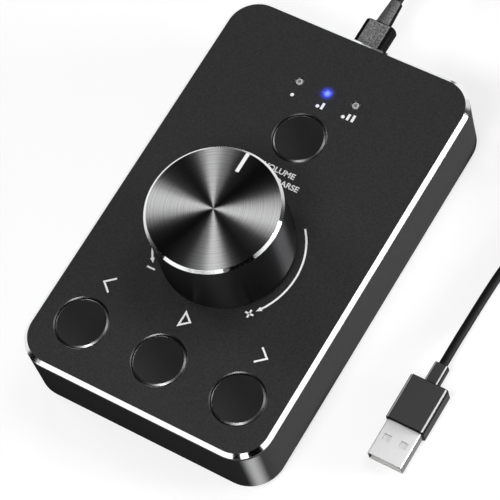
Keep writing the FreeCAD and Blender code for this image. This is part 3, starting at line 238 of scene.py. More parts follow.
    def upward(self) -> Socket:
        """How far up the face looks: 1 for level, 0 for upright, -1 for downward."""
        return self.axes(self.node("ShaderNodeNewGeometry").outputs["True Normal"])[2]

    def sloping(self, low: float, high: float) -> Socket:
        """Mask, 0 or 1, of the faces whose upward part lies between two values."""
        up = self.upward()
        return self.maths("MULTIPLY", self.maths("GREATER_THAN", up, low), self.maths("LESS_THAN", up, high))

    def beyond(self, reach_mm: Flat) -> Socket:
        """Mask of the places further out than a distance along X or along Y.

        Args:
            reach_mm: the distances from the origin along X and Y.

        Returns:
            The mask's socket, 0 or 1.
        """
        sides = self.axes(self.vectors("ABSOLUTE", self.place_mm()))
        past = [self.maths("GREATER_THAN", side, reach) for side, reach in zip(sides, reach_mm)]
        return self.maths("MAXIMUM", *past)

    def bump(self, height: Socket, depth_mm: float, strength: Value = 1.0) -> Socket:
        """Surface normal over a height from 0 to 1, with the depth of 1 and how much of it shows."""
        inputs = {"Height": height, "Distance": depth_mm * MM, "Strength": strength}
        return self.node("ShaderNodeBump", inputs).outputs["Normal"]


@dataclass(frozen=True)
class Finish(ABC):
    """A surface finish that can make its material."""

    name: str

    @abstractmethod
    def build(self, sheet: NodeSheet) -> None:
        """Fills the material's node tree."""

    def material(self) -> bpy.types.Material:
        """Makes the finish's material the first time it is asked for.

        Returns:
            The material.
        """
        if self.name not in bpy.data.materials:
            self.build(NodeSheet(bpy.data.materials.new(self.name)))
        return bpy.data.materials[self.name]


@dataclass(frozen=True)
class BlastedMetal(Finish):
    """Bead-blasted anodised metal with a bright cut border, softly turned rims and round keys, and, where
    asked, a painted glow of lamp light round an upright axis.
    """

    colour: Rgb = (0.030, 0.030, 0.031)
    cut_colour: Rgb = BRIGHT_CUT
    grain_mm: float = 0.42
    grain_depth_mm: float = 0.012
    grain_contrast: float = 0.45
    cloud_mm: float = 14.0
    cloud_rough: Flat = (-0.03, 0.03)
    drawn_mm: float = 0.5
    drawn_rough: Flat = (-0.04, 0.05)
    drawn_stretch: Place = (1.0, 1.0, 6.0)
    metallic: float = 0.3
    roughness: float = 0.56
    shine: float = 0.4
    cut_roughness: float = 0.16
    cut_beyond_mm: Flat = (99.0, 99.0)
    rim_cut: float = 1.0
    rim_lean: float = 0.8
    rim_roughness: float = 0.3
    top_twist: float = 0.0
    painted_glow_axis_mm: Flat | None = None
    painted_glow_reach_mm: Flat = (1.0, 2.9)
    painted_glow_colour: Rgb = (0.045, 0.08, 0.9)

    def build(self, sheet: NodeSheet) -> None:
        """Fills the tree: grained dark faces, a bright cut border, softer rims round the holes or keys, and
        any painted glow.

        Args:
            sheet: the tree to fill.
        """
        sloping = sheet.sloping(*BORDER_SLOPE)
        border = sheet.beyond(self.cut_beyond_mm)
        cut = sheet.maths("MULTIPLY", sloping, sheet.maths("MAXIMUM", border, self.rim_cut))
        rim = sheet.maths("MULTIPLY", sloping, sheet.spread(border, 1.0, 0.0))
        grain = sheet.noise(self.grain_mm, FINE_DETAIL)
        cloud = sheet.noise(self.cloud_mm)
        shares = (1 - self.grain_contrast, 1 + self.grain_contrast)
        flat = sheet.shaded(sheet.spread(grain, source=CRISP), self.colour, shares)
        flat_rough = sheet.maths("ADD", sheet.spread(cloud, *self.cloud_rough), self.roughness)
        drawn = sheet.noise(self.drawn_mm, stretch=self.drawn_stretch)
        smooth = sheet.spread(border, self.rim_roughness, self.cut_roughness)
        cut_rough = sheet.maths("ADD", sheet.spread(drawn, *self.drawn_rough), smooth)
        sheet.dress({
            "Base Color": sheet.blend(cut, flat, self.cut_colour),
            "Metallic": sheet.spread(sloping, self.metallic, 1.0),
            "Roughness": sheet.spread(sloping, flat_rough, cut_rough),
            "Specular IOR Level": self.shine,
            "Normal": self.softened(sheet, grain, cut, rim),
        })
        # Painted light: the plate itself emits a blue glow that fades out from an upright axis.
        if self.painted_glow_axis_mm:
            painted_glow = sheet.spread(sheet.radius_mm(self.painted_glow_axis_mm), 1.0, 0.0, self.painted_glow_reach_mm)
            sheet.dress({
                "Emission Color": self.painted_glow_colour,
                "Emission Strength": sheet.maths("MULTIPLY", painted_glow, painted_glow),
            })

    def softened(self, sheet: NodeSheet, grain: Socket, cut: Socket, rim: Socket) -> Socket:
        """Surface normal: grain on the flats, rounded over at the rims, and a faint sway across each key.

        Args:
            sheet: the tree.
            grain: the grain's height.
            cut: mask of the cut faces.
            rim: mask of the cut faces other than the border.

        Returns:
            The normal's socket.
        """
        upright = sheet.node("ShaderNodeCombineXYZ", {"Z": sheet.maths("MULTIPLY", rim, self.rim_lean)})
        normal = sheet.vectors("ADD", sheet.normal(), upright.outputs[0])
        if self.top_twist:
            across = sheet.node("ShaderNodeTexCoord").outputs["Generated"]
            offset = sheet.vectors("SUBTRACT", across, (0.5, 0.5, 0.5))
            turned = sheet.vectors("CROSS_PRODUCT", offset, (0.0, 0.0, 1.0))
            sway = sheet.vectors("MULTIPLY", turned, (-self.top_twist, self.top_twist, 0.0))
            sway = sheet.scaled(sway, sheet.spread(rim, 1.0, 0.0))
            normal = sheet.vectors("ADD", normal, sway)
        normal = sheet.vectors("NORMALIZE", normal)
        bumped = sheet.bump(grain, self.grain_depth_mm, sheet.spread(cut, 1.0, 0.0))
        sheet.feed(bumped.node.inputs["Normal"], normal)
        return bumped


@dataclass(frozen=True)
class TurnedMetal(Finish):
    """Metal turned on a lathe: fine rings round the axis and a bright cut rim."""

    axis_mm: Flat = (0.0, -11.5)
    colour: Rgb = (0.38, 0.38, 0.383)
    side_colour: Rgb = (0.022, 0.022, 0.023)
    cut_colour: Rgb = BRIGHT_CUT
    ring_mm: float = 0.28
    ring_detail: float = FINE_DETAIL
    ring_depth_mm: float = 0.004
    ring_shares: Flat = (0.8, 1.25)
    top_above: float = 0.9
    roughness: float = 0.33
    side_roughness: float = 0.4
    cut_roughness: float = 0.1
    anisotropy: float = 1.0
    across_the_rings: float = 0.25

    def build(self, sheet: NodeSheet) -> None:
        """Fills the tree: ringed top, smooth dark side and bright rim.

        Args:
            sheet: the tree to fill.
        """
        top = sheet.maths("GREATER_THAN", sheet.upward(), self.top_above)
        cut = sheet.sloping(*BORDER_SLOPE)
        rings = sheet.rings(sheet.radius_mm(self.axis_mm), self.ring_mm, self.ring_detail)
        face = sheet.shaded(sheet.spread(rings, source=CRISP), self.colour, self.ring_shares)
        body = sheet.blend(top, self.side_colour, face)
        rough = sheet.spread(top, self.side_roughness, self.roughness)
        sheet.dress({
            "Base Color": sheet.blend(cut, body, self.cut_colour),
            "Metallic": 1.0,
            "Roughness": sheet.spread(cut, rough, self.cut_roughness),
            "Anisotropic": self.anisotropy,
            "Anisotropic Rotation": self.across_the_rings,
            "Tangent": sheet.node("ShaderNodeTangent", direction_type="RADIAL", axis="Z").outputs[0],
            "Normal": sheet.bump(rings, self.ring_depth_mm, top),
        })


@dataclass(frozen=True)
class SatinMetal(Finish):
    """Plain or plated metal with a satin sheen and faint drawn streaks, and, where asked, painted shade on
    its sides.
    """

    colour: Rgb = (0.030, 0.030, 0.032)
    metallic: float = 0.7
    roughness: float = 0.36
    shine: float = 0.5
    streak: Place = (1.0, 1.0, 1.0)
    streak_mm: float = 0.4
    streak_depth_mm: float = 0.003
    streak_shares: Flat = (0.85, 1.15)
    streak_rough: Flat = (-0.05, 0.05)
    painted_side_shade_share: float = 1.0
    side_below: float = 0.5

    def build(self, sheet: NodeSheet) -> None:
        """Fills the tree.

        Args:
            sheet: the tree to fill.
        """
        streaks = sheet.noise(self.streak_mm, FINE_DETAIL, self.streak)
        face = sheet.shaded(streaks, self.colour, self.streak_shares)
        # Painted shade: the sides get a darker share of the colour.
        if self.painted_side_shade_share < 1:
            side = sheet.maths("LESS_THAN", sheet.upward(), self.side_below)
            face = sheet.blend(side, face, tuple(part * self.painted_side_shade_share for part in self.colour))
        sheet.dress({
            "Base Color": face,
            "Metallic": self.metallic,
            "Roughness": sheet.maths("ADD", sheet.spread(streaks, *self.streak_rough), self.roughness),
            "Specular IOR Level": self.shine,
            "Normal": sheet.bump(streaks, self.streak_depth_mm),
        })


@dataclass(frozen=True)
class PaintedCornerHighlightMetal(Finish):
    """Dark anodised walls with a painted highlight on their rounded upright corners, which get a brighter,
    glossier metal colour.
    """

    colour: Rgb = (0.036, 0.036, 0.037)
    painted_corner_highlight: Rgb = (0.36, 0.36, 0.365)
    corner_reach: Flat = (0.78, 1.0)
    corner_metallic: float = 0.9
    corner_roughness: float = 0.32
    streak: Place = (1.0, 1.0, 0.15)
    streak_mm: float = 0.4
    streak_depth_mm: float = 0.003
    streak_shares: Flat = (0.85, 1.15)
    streak_rough: Flat = (-0.05, 0.05)
    roughness: float = 0.5
    shine: float = 0.0

    def build(self, sheet: NodeSheet) -> None:
        """Fills the tree: satin walls, with a painted highlight where the wall looks both sideways and to
        front or back.

        Args:
            sheet: the tree to fill.
        """
        # Painted highlight: the rounded corners get a far brighter, glossier metal colour that stands in for
        # a glint of light.
        sideways, ahead, _ = sheet.axes(sheet.normal())
        both = sheet.maths("ABSOLUTE", sheet.maths("MULTIPLY", sideways, ahead))
        reach = sheet.spread(sheet.maths("MULTIPLY", both, 2.0), source=self.corner_reach)
        painted_highlight = sheet.maths("MULTIPLY", reach, reach)
        streaks = sheet.noise(self.streak_mm, FINE_DETAIL, self.streak)
        wall = sheet.shaded(streaks, self.colour, self.streak_shares)
        rough = sheet.spread(painted_highlight, self.roughness, self.corner_roughness)
        sheet.dress({
            "Base Color": sheet.blend(painted_highlight, wall, self.painted_corner_highlight),
            "Metallic": sheet.maths("MULTIPLY", painted_highlight, self.corner_metallic),
            "Roughness": sheet.maths("ADD", sheet.spread(streaks, *self.streak_rough), rough),
            "Specular IOR Level": self.shine,
            "Normal": sheet.bump(streaks, self.streak_depth_mm),
        })


@dataclass(frozen=True)
class Moulded(Finish):
    """Moulded plastic or rubber with a fine spark-eroded grain and, where asked, painted shade on its sides
    and a painted highlight along its edges.
    """

    colour: Rgb = (0.022, 0.022, 0.023)
    roughness: float = 0.5
    grain_mm: float = 0.25
    grain_depth_mm: float = 0.01
    contrast: float = 0.2
    cloud_mm: float = 6.0
    cloud_rough: Flat = (-0.04, 0.04)
    shine: float = 0.5
    # Painted shade for the sides, where given.
    side_colour: Rgb | None = None
    side_roughness: float = 0.16
    side_below: float = 0.96
    side_grain: float = 0.1
    # Painted highlight along the edges, where given.
    painted_edge_highlight: Rgb | None = None
    edge_slope: Flat = (0.80, 0.955)
    edge_sideways: float = 0.25

    def build(self, sheet: NodeSheet) -> None:
        """Fills the tree.

        Args:
            sheet: the tree to fill.
        """
        grain = sheet.noise(self.grain_mm, FINE_DETAIL)
        cloud = sheet.noise(self.cloud_mm)
        shares = (1 - self.contrast, 1 + self.contrast)
        colour = sheet.shaded(sheet.spread(grain, source=CRISP), self.colour, shares)
        rough: Value = self.roughness
        depth: Value = 1.0
        # Painted shade: the sides get a near-black colour of their own, with their own roughness and fainter
        # grain.
        if self.side_colour:
            side = sheet.maths("LESS_THAN", sheet.upward(), self.side_below)
            colour = sheet.blend(side, colour, self.side_colour)
            rough = sheet.spread(side, self.roughness, self.side_roughness)
            depth = sheet.spread(side, 1.0, self.side_grain)
        # Painted highlight: a pale line on the sloping edge faces that look sideways.
        if self.painted_edge_highlight:
            across = sheet.maths("ABSOLUTE", sheet.axes(sheet.normal())[0])
            sideways = sheet.maths("GREATER_THAN", across, self.edge_sideways)
            edge = sheet.maths("MULTIPLY", sideways, sheet.sloping(*self.edge_slope))
            colour = sheet.blend(edge, colour, self.painted_edge_highlight)
        sheet.dress({
            "Base Color": colour,
            "Roughness": sheet.maths("ADD", sheet.spread(cloud, *self.cloud_rough), rough),
            "Specular IOR Level": self.shine,
            "Normal": sheet.bump(grain, self.grain_depth_mm, depth),
        })


@dataclass(frozen=True)
class Paint(Finish):
    """Opaque printed or filled paint with a slightly uneven film."""

    colour: Rgb = (0.96, 0.96, 0.955)
    roughness: float = 0.5
    film_mm: float = 0.3
    film_depth_mm: float = 0.003
    film_shares: Flat = (0.94, 1.0)
    film_rough: Flat = (-0.05, 0.05)

    def build(self, sheet: NodeSheet) -> None:
        """Fills the tree.

        Args:
            sheet: the tree to fill.
        """
        film = sheet.noise(self.film_mm)
        sheet.dress({
            "Base Color": sheet.shaded(film, self.colour, self.film_shares),
            "Roughness": sheet.maths("ADD", sheet.spread(film, *self.film_rough), self.roughness),
            "Normal": sheet.bump(film, self.film_depth_mm),
        })


class LampState(Enum):
    """Whether a mode lamp is lit."""

    OFF = "off"
    LIT = "lit"


@dataclass(frozen=True)
class LampWindow(Finish):
    """Milky clear end of a light pipe, dark grey when off and glowing from its middle when lit."""

    state: LampState = LampState.OFF
    axis_mm: Flat = (0.0, 0.0)
    radius_mm: float = 1.2
    milk_shares: Flat = (0.35, 0.75)
    milk: Rgb = (0.55, 0.55, 0.55)
    middle: Rgb = (0.15, 0.15, 0.15)
    haze_mm: float = 0.5
    haze_depth_mm: float = 0.004
    haze_rough: Flat = (0.5, 0.6)
    core_mm: float = 0.15
    lit_body: Rgb = (0.03, 0.03, 0.06)
    core: Rgb = (0.24, 0.32, 1.0)
    edge: Rgb = (0.055, 0.09, 0.85)
    glow: float = 1.0

    def build(self, sheet: NodeSheet) -> None:
        """Fills the tree.

        Args:
            sheet: the tree to fill.
        """
        haze = sheet.noise(self.haze_mm)
        radius = sheet.radius_mm(self.axis_mm)
        rim = sheet.spread(radius, source=tuple(share * self.radius_mm for share in self.milk_shares))
        sheet.dress({
            "Base Color": sheet.blend(rim, self.middle, self.milk),
            "Roughness": sheet.spread(haze, *self.haze_rough),
            "Normal": sheet.bump(haze, self.haze_depth_mm),
        })
        if self.state is LampState.LIT:
            reach = sheet.spread(radius, source=(self.core_mm, self.radius_mm))
            sheet.dress({
                "Base Color": sheet.blend(haze, self.lit_body, self.edge),
                "Emission Color": sheet.blend(reach, self.core, self.edge),
                "Emission Strength": self.glow,
            })


@dataclass(frozen=True)
class SolderMask(Finish):
    """Green board lacquer over faint copper tracks."""

    colour: Rgb = (0.010, 0.075, 0.030)
    track_colour: Rgb = (0.020, 0.120, 0.050)
    track_mm: float = 2.2
    track_edge: Flat = (0.05, 0.09)
    track_depth_mm: float = 0.02
    roughness: float = 0.28

    def build(self, sheet: NodeSheet) -> None:
        """Fills the tree.

        Args:
            sheet: the tree to fill.
        """
        inputs = {"Vector": sheet.place_mm(), "Scale": 1 / self.track_mm}
        cells = sheet.node("ShaderNodeTexVoronoi", inputs, feature="DISTANCE_TO_EDGE", distance="MANHATTAN")
        track = sheet.spread(cells.outputs["Distance"], 1.0, 0.0, self.track_edge)
        sheet.dress({
            "Base Color": sheet.blend(track, self.colour, self.track_colour),
            "Roughness": self.roughness,
            "Normal": sheet.bump(track, self.track_depth_mm),
        })


# The plate carries a painted glow of blue light round the lit middle lamp's window.
PLATE = BlastedMetal(
    "plate_finish", colour=(0.0215, 0.0215, 0.0218), cut_roughness=0.1, cut_beyond_mm=(39.0, 65.0),
    rim_cut=0.05, painted_glow_axis_mm=(0.0, 50.6),
)
KEY = BlastedMetal(
    "key_finish", colour=(0.019, 0.019, 0.0193), grain_mm=0.3, grain_contrast=0.2, roughness=0.55, shine=0.08,
    cut_colour=(0.15, 0.15, 0.151), top_twist=0.6,
)
KNOB = TurnedMetal("knob_finish")
# The case walls carry a painted highlight on their rounded upright corners.
CASE = PaintedCornerHighlightMetal("case_finish")
STEEL = SatinMetal("steel_finish", colour=(0.52, 0.52, 0.53), metallic=1.0, roughness=0.3)
BLACK_STEEL = SatinMetal("black_steel_finish", colour=(0.06, 0.06, 0.06), metallic=1.0)
BRONZE = SatinMetal("bronze_finish", colour=(0.6, 0.42, 0.2), metallic=1.0)
GOLD = SatinMetal("gold_finish", colour=(0.83, 0.62, 0.25), metallic=1.0, roughness=0.24)
# The plug shell carries painted shade on its sides.
PLUG_SHELL = SatinMetal(
    "plug_shell_finish", colour=(0.92, 0.92, 0.93), metallic=0.4, roughness=0.5, streak=(6.0, 0.3, 6.0),
    painted_side_shade_share=0.12,
)
# The plug grips and the small relief carry painted shade on their sides.
GRIP_SMALL = Moulded(
    "small_grip_finish", colour=(0.175, 0.175, 0.176), grain_mm=0.45, grain_depth_mm=0.03, contrast=0.8,
    shine=0.02, side_colour=(0.004, 0.004, 0.004), side_roughness=0.5, side_below=0.96,
)
RELIEF_SMALL = Moulded(
    "small_relief_finish", colour=(0.10, 0.10, 0.101), grain_mm=0.45, grain_depth_mm=0.03, contrast=0.6,
    shine=0.02, side_colour=(0.004, 0.004, 0.004), side_roughness=0.5, side_below=0.55,
)
# The large grip also carries a painted highlight along its long edges.
GRIP_LARGE = Moulded(
    "large_grip_finish", colour=(0.053, 0.053, 0.054), contrast=0.1, shine=0.03,
    side_colour=(0.006, 0.006, 0.006), painted_edge_highlight=(0.5, 0.5, 0.5),
)
JACKET = Moulded(
    "jacket_finish", colour=(0.009, 0.009, 0.009), roughness=0.48, grain_mm=0.8, contrast=0.15, shine=0.06
)
COVER = Moulded("cover_finish", colour=(0.020, 0.020, 0.021), roughness=0.62, grain_mm=0.35)
BLACK_PLASTIC = Moulded("black_plastic_finish", grain_mm=0.3)
WHITE_PLASTIC = Moulded("white_plastic_finish", colour=(0.90, 0.90, 0.885), contrast=0.04)
CERAMIC = Moulded("ceramic_finish", colour=(0.35, 0.27, 0.19), grain_mm=0.2)
CLEAR_RESIN = Moulded("led_finish", colour=(0.78, 0.77, 0.66), roughness=0.25, contrast=0.05)
FOOT_RUBBER = Moulded("foot_finish", colour=(0.028, 0.028, 0.028), roughness=0.75)
FOAM_TAPE = Moulded("tape_finish", colour=(0.012, 0.012, 0.012), roughness=0.85)
STRAP_CLOTH = Moulded(
    "strap_finish", colour=(0.020, 0.020, 0.021), roughness=0.9, grain_mm=0.35, grain_depth_mm=0.12,
    contrast=0.5, shine=0.15,
)
WHITE_PAINT = Paint("white_paint_finish")


class Body(Enum):
    """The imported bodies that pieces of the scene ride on."""

    HOUSING = "housing"
    LEAD = "lead"


def put_on(finish: Finish, *nodes: str) -> None:
    """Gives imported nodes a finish.

    Args:
        finish: the finish.
        nodes: the nodes' names.
    """
    for name in nodes:
        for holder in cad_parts[name].material_slots:
            holder.material = finish.material()
        LOG.info("%s wears %s", name, finish.name)


def add_piece(name: str, data: bpy.types.ID, finish: Finish, body: Body) -> bpy.types.Object:
    """Adds a new piece to the scene and lets it ride on a body.

    Args:
        name: the piece's name.
        data: its mesh, curve or text.
        finish: its finish.
        body: the body it moves with.

    Returns:
        The new object.
    """
    piece = show(name, data)
    data.materials.append(finish.material())
    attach(piece, body.value)
    LOG.info("%s rides on %s and wears %s", name, body.value, finish.name)
    return piece


def mesh_of(name: str, shape: bmesh.types.BMesh) -> bpy.types.Mesh:
    """Turns a finished bmesh into a mesh.

    Args:
        name: the mesh's name.
        shape: the bmesh, which is freed.

    Returns:
        The mesh.
    """
    bmesh.ops.recalc_face_normals(shape, faces=shape.faces)
    mesh = bpy.data.meshes.new(name)
    shape.to_mesh(mesh)
    shape.free()
    return mesh


@dataclass
class Enclosure:
    """The box: face plate, case, bonded sheet, bottom cover with its screws, and feet."""

    plate: str = "face_plate"
    case: str = "case_body"
    sheet: str = "adhesive_sheet"
    cover: str = "bottom_cover"

    def build(self) -> None:
        """Dresses every node of the box."""
        put_on(PLATE, self.plate)
        put_on(CASE, self.case)
        put_on(FOAM_TAPE, self.sheet)
        put_on(COVER, self.cover)
        put_on(BLACK_STEEL, "cover_screws")
        put_on(FOOT_RUBBER, "rubber_feet")

    def top(self) -> float:
        """Height of the plate's upper face."""
        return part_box(self.plate)[1].z


@dataclass
class Keypad:
    """The four round keys and the pins of their switches."""

    keys: tuple[str, ...] = ("previous", "play", "next", "mode")

    def build(self) -> None:
        """Dresses the keys and their pins."""
        put_on(KEY, *(name + "_key" for name in self.keys))
        put_on(BLACK_PLASTIC, *(name + "_plunger" for name in self.keys))


@dataclass
class TurningKnob:
    """The knob: turned cup, moulded core, pointer line and shaft."""

    shell: str = "knob_shell"

    def build(self) -> None:
        """Dresses the knob's nodes."""
        put_on(KNOB, self.shell)
        put_on(BLACK_PLASTIC, "knob_core")
        put_on(WHITE_PAINT, "knob_indicator")
        put_on(STEEL, "encoder_shaft")

    def centre(self) -> Vector:
        """Middle of the knob's top."""
        low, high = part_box(self.shell)
        return Vector(((low.x + high.x) / 2, (low.y + high.y) / 2, high.z))


@dataclass
class Internals:
    """What the box hides: board, switches, encoder and socket."""

    def build(self) -> None:
        """Dresses the hidden nodes."""
        put_on(SolderMask("board_finish"), "main_board")
        put_on(STEEL, "board_screws", "crystal", "usb_c_socket", "encoder_frame", "encoder_pins",
               "encoder_washer", "encoder_nut")
        put_on(BLACK_PLASTIC, "tact_switches", "controller_chip", "usb_c_tongue", "encoder_housing",
               "encoder_rotor")
        put_on(CERAMIC, "board_parts")
        put_on(BRONZE, "encoder_click_spring")
        put_on(CLEAR_RESIN, "led_chips")


@dataclass
class ModeLamps:
    """The three mode lamps, of which the middle one is lit."""

    states: dict[str, LampState] = field(default_factory=lambda: {
        "low": LampState.OFF, "medium": LampState.LIT, "high": LampState.OFF,
    })
    glow_lift: float = 1.0 * MM
    glow_radius: float = 0.8 * MM
    glow_watts: float = 0.0008
    glow_colour: Rgb = (0.04, 0.07, 1.0)

    def build(self) -> None:
        """Dresses the light pipes and lights the plate round the lit one."""
        for name, state in self.states.items():
            node = "light_pipe_" + name
            low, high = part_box(node)
            middle = ((low + high) / 2) / MM
            put_on(LampWindow(node + "_finish", state=state, axis_mm=(middle.x, middle.y)), node)
            if state is LampState.LIT:
                self.glow(Vector((middle.x * MM, middle.y * MM, high.z)))

    def glow(self, top: Vector) -> None:
        """Adds a faint lamp just above the lit window.

        Args:
            top: the middle of the window's upper face.
        """
        light = bpy.data.lights.new("mode_lamp_glow", "POINT")
        light.energy = self.glow_watts
        light.color = self.glow_colour
        light.shadow_soft_size = self.glow_radius
        lamp = show("mode_lamp_glow", light)
        lamp.location = top + Vector((0, 0, self.glow_lift))
        lamp.visible_camera = False
        lamp.visible_glossy = False


@dataclass
class PrintedMarks:
    """White marks printed on the face plate round the knob, the keys and the lamps."""

    surface: float
    knob: Vector
    film: float = 0.02 * MM
    stroke: float = 0.64 * MM
    arc_radius: float = 24.6 * MM
    arc_shift: Flat = mm(-0.3, 0.4)
    arc_span: Flat = (41.0, -34.5)
    arc_step: float = 3.0
    arrow_length: float = 1.9 * MM
    arrow_width: float = 1.5 * MM
    sign_size: float = 2.9 * MM
    plus_place: Flat = mm(17.4, -28.1)
    minus_place: Flat = mm(-19.1, -28.3)
    chevron_reach: float = 3.2 * MM
    chevron_half: float = 2.7 * MM
    previous_tip: Flat = mm(-30.15, -39.0)
    next_tip: Flat = mm(30.25, -38.85)
    triangle_back_x: float = -0.78 * MM
    triangle_tip: Flat = mm(2.15, -38.95)
    triangle_half: float = 2.4 * MM
    dot_radius: float = 0.62 * MM
    bar_width: float = 0.9 * MM
    dot_corners: int = 28
    level_dots: tuple[Flat, ...] = (mm(-10.18, 45.3), mm(-0.61, 45.2), mm(8.87, 45.25))
    level_bars: tuple[Place, ...] = (mm(1.0, 44.6, 47.0), mm(10.6, 44.7, 47.0), mm(12.3, 44.7, 47.3))
    words: tuple[tuple[str, float, float, float], ...] = (
        ("VOLUME", *mm(6.05, 18.5, 11.8)),
        ("COARSE", *mm(9.4, 15.0, 10.9)),
    )
    word_height: float = 2.05 * MM
    word_boldness: float = 0.026
    sharpest_mitre: float = 0.3

    def build(self) -> None:
        """Prints every mark."""
        self.ribbon("volume_up_arc", self.arc(*self.arc_span))
        self.ribbon("volume_down_arc", self.arc(180 - self.arc_span[0], 180 - self.arc_span[1]))
        self.arrow("volume_up_arrow", self.arc_span[1], -1)
        self.arrow("volume_down_arrow", 180 - self.arc_span[1], 1)
        self.sign("volume_up_sign", self.plus_place, True)
        self.sign("volume_down_sign", self.minus_place, False)
        self.chevron("previous_mark", self.previous_tip, 1)
        self.chevron("next_mark", self.next_tip, -1)
        self.triangle()
        for number, place in enumerate(self.level_dots):
            self.dot(f"level_dot_{number + 1}", place)
        for number, (x, low, high) in enumerate(self.level_bars):
            self.ribbon(f"level_bar_{number + 1}", [(x, low), (x, high)], self.bar_width)
        for text, right, foot, width in self.words:
            self.word(text, right, foot, width)

    def arc(self, start: float, end: float) -> list[Flat]:
        """Points of an arc round the knob.

        Args:
            start: its first angle from +X, in degrees.
            end: its last angle.

        Returns:
            The points, in the plate's plane.
        """
        count = math.ceil(abs(end - start) / self.arc_step)
        angles = [math.radians(start + (end - start) * number / count) for number in range(count + 1)]
        return [self.around(angle, self.arc_radius) for angle in angles]

    def around(self, angle: float, radius: float) -> Flat:
        """Point of the plate's plane at an angle from +X and a distance from the arcs' centre."""
        x, y = self.knob.x + self.arc_shift[0], self.knob.y + self.arc_shift[1]
        return (x + radius * math.cos(angle), y + radius * math.sin(angle))

    def printed(self, name: str, loops: Iterable[Sequence[Flat]]) -> None:
        """Adds a mark of one or more filled outlines, as thick as the film.

        Args:
            name: the mark's name.
            loops: each outline's points in order.
        """
        shape = bmesh.new()
        for loop in loops:
            corners = [shape.verts.new((x, y, self.surface)) for x, y in loop]
            face = shape.faces.new(corners)
            grown = bmesh.ops.extrude_face_region(shape, geom=[face])
            risen = [item for item in grown["geom"] if isinstance(item, bmesh.types.BMVert)]
            bmesh.ops.translate(shape, verts=risen, vec=(0, 0, self.film))
        add_piece(name, mesh_of(name, shape), WHITE_PAINT, Body.HOUSING)

    def ribbon(self, name: str, points: Sequence[Flat], width: float = 0.0) -> None:
        """Adds a stroke of even width along points.

        Args:
            name: the mark's name.
            points: the stroke's middle line.
            width: its width; the common stroke's where it is 0.
        """
        half = (width or self.stroke) / 2
        left, right = [], []
        for number, (x, y) in enumerate(points):
            before = Vector(points[max(number - 1, 0)])
            after = Vector(points[min(number + 1, len(points) - 1)])
            here = Vector((x, y))
            sides = [(end - start).normalized() for start, end in ((before, here), (here, after))
                     if (end - start).length > 0]
            along = sum(sides, Vector((0, 0))).normalized()
            reach = half / max(along.dot(sides[0]), self.sharpest_mitre)
            across = Vector((-along.y, along.x)) * reach
            left.append(tuple(here + across))
            right.append(tuple(here - across))
        self.printed(name, [[a, b, c, d] for a, b, c, d in zip(left, left[1:], right[1:], right)])

    def arrow(self, name: str, degrees: float, turn: int) -> None:
        """Adds an arrow head at an arc's end.

        Args:
            name: the mark's name.
            degrees: the arc's last angle.
            turn: -1 where the arrow points clockwise, 1 for the other way.
        """
        angle = math.radians(degrees)
        ahead = angle + turn * self.arrow_length / self.arc_radius
        inner = self.around(angle, self.arc_radius - self.arrow_width / 2)
        outer = self.around(angle, self.arc_radius + self.arrow_width / 2)
        self.printed(name, [[inner, self.around(ahead, self.arc_radius), outer]])

    def sign(self, name: str, place: Flat, plus: bool) -> None:
        """Adds a minus or plus sign that follows the arc's ends.

        Args:
            name: the mark's name.
            place: its middle.
            plus: whether it has the second stroke.
        """
        x, y = place
        half = self.sign_size / 2
        self.ribbon(name, [(x - half, y), (x + half, y)])
        if plus:
            self.ribbon(name + "_upright", [(x, y - half), (x, y + half)])

    def chevron(self, name: str, tip: Flat, side: int) -> None:
        """Adds an open angle that points left or right.

        Args:
            name: the mark's name.
            tip: its point.
            side: 1 where the arms run to +X, -1 where they run to -X.
        """
        x, y = tip
        end = x + side * self.chevron_reach
        self.ribbon(name, [(end, y + self.chevron_half), tip, (end, y - self.chevron_half)])

    def triangle(self) -> None:
        """Adds the play key's outlined triangle."""
        x, y = self.triangle_tip
        back = self.triangle_back_x
        top = (back, y + self.triangle_half)
        foot = (back, y - self.triangle_half)
        middle = (back, y)
        self.ribbon("play_mark", [middle, top, (x, y), foot, middle])

    def dot(self, name: str, place: Flat) -> None:
        """Adds a round dot.

        Args:
            name: the mark's name.
            place: its middle.
        """
        turns = [2 * math.pi * number / self.dot_corners for number in range(self.dot_corners)]
        (x, y), radius = place, self.dot_radius
        self.printed(name, [[(x + radius * math.cos(turn), y + radius * math.sin(turn)) for turn in turns]])

    def word(self, text: str, right: float, foot: float, width: float) -> None:
        """Adds one printed word.

        Args:
            text: the word.
            right: where its last letter ends along X.
            foot: its base line along Y.
            width: how wide it is.
        """
        curve = bpy.data.curves.new("label_" + text.lower(), "FONT")
        curve.body = text
        curve.align_x = "RIGHT"
        curve.size = 1.0
        curve.offset = self.word_boldness
        label = add_piece(curve.name, curve, WHITE_PAINT, Body.HOUSING)
        bpy.context.view_layer.update()
        wide, high = label.dimensions.x, label.dimensions.y
        curve.size = self.word_height / high
        stretch = width / (wide * curve.size)
        curve.extrude = self.film / 2
        curve.offset *= curve.size
        label.scale = (stretch, 1.0, 1.0)
        label.location = (right, foot, self.surface + self.film / 2)


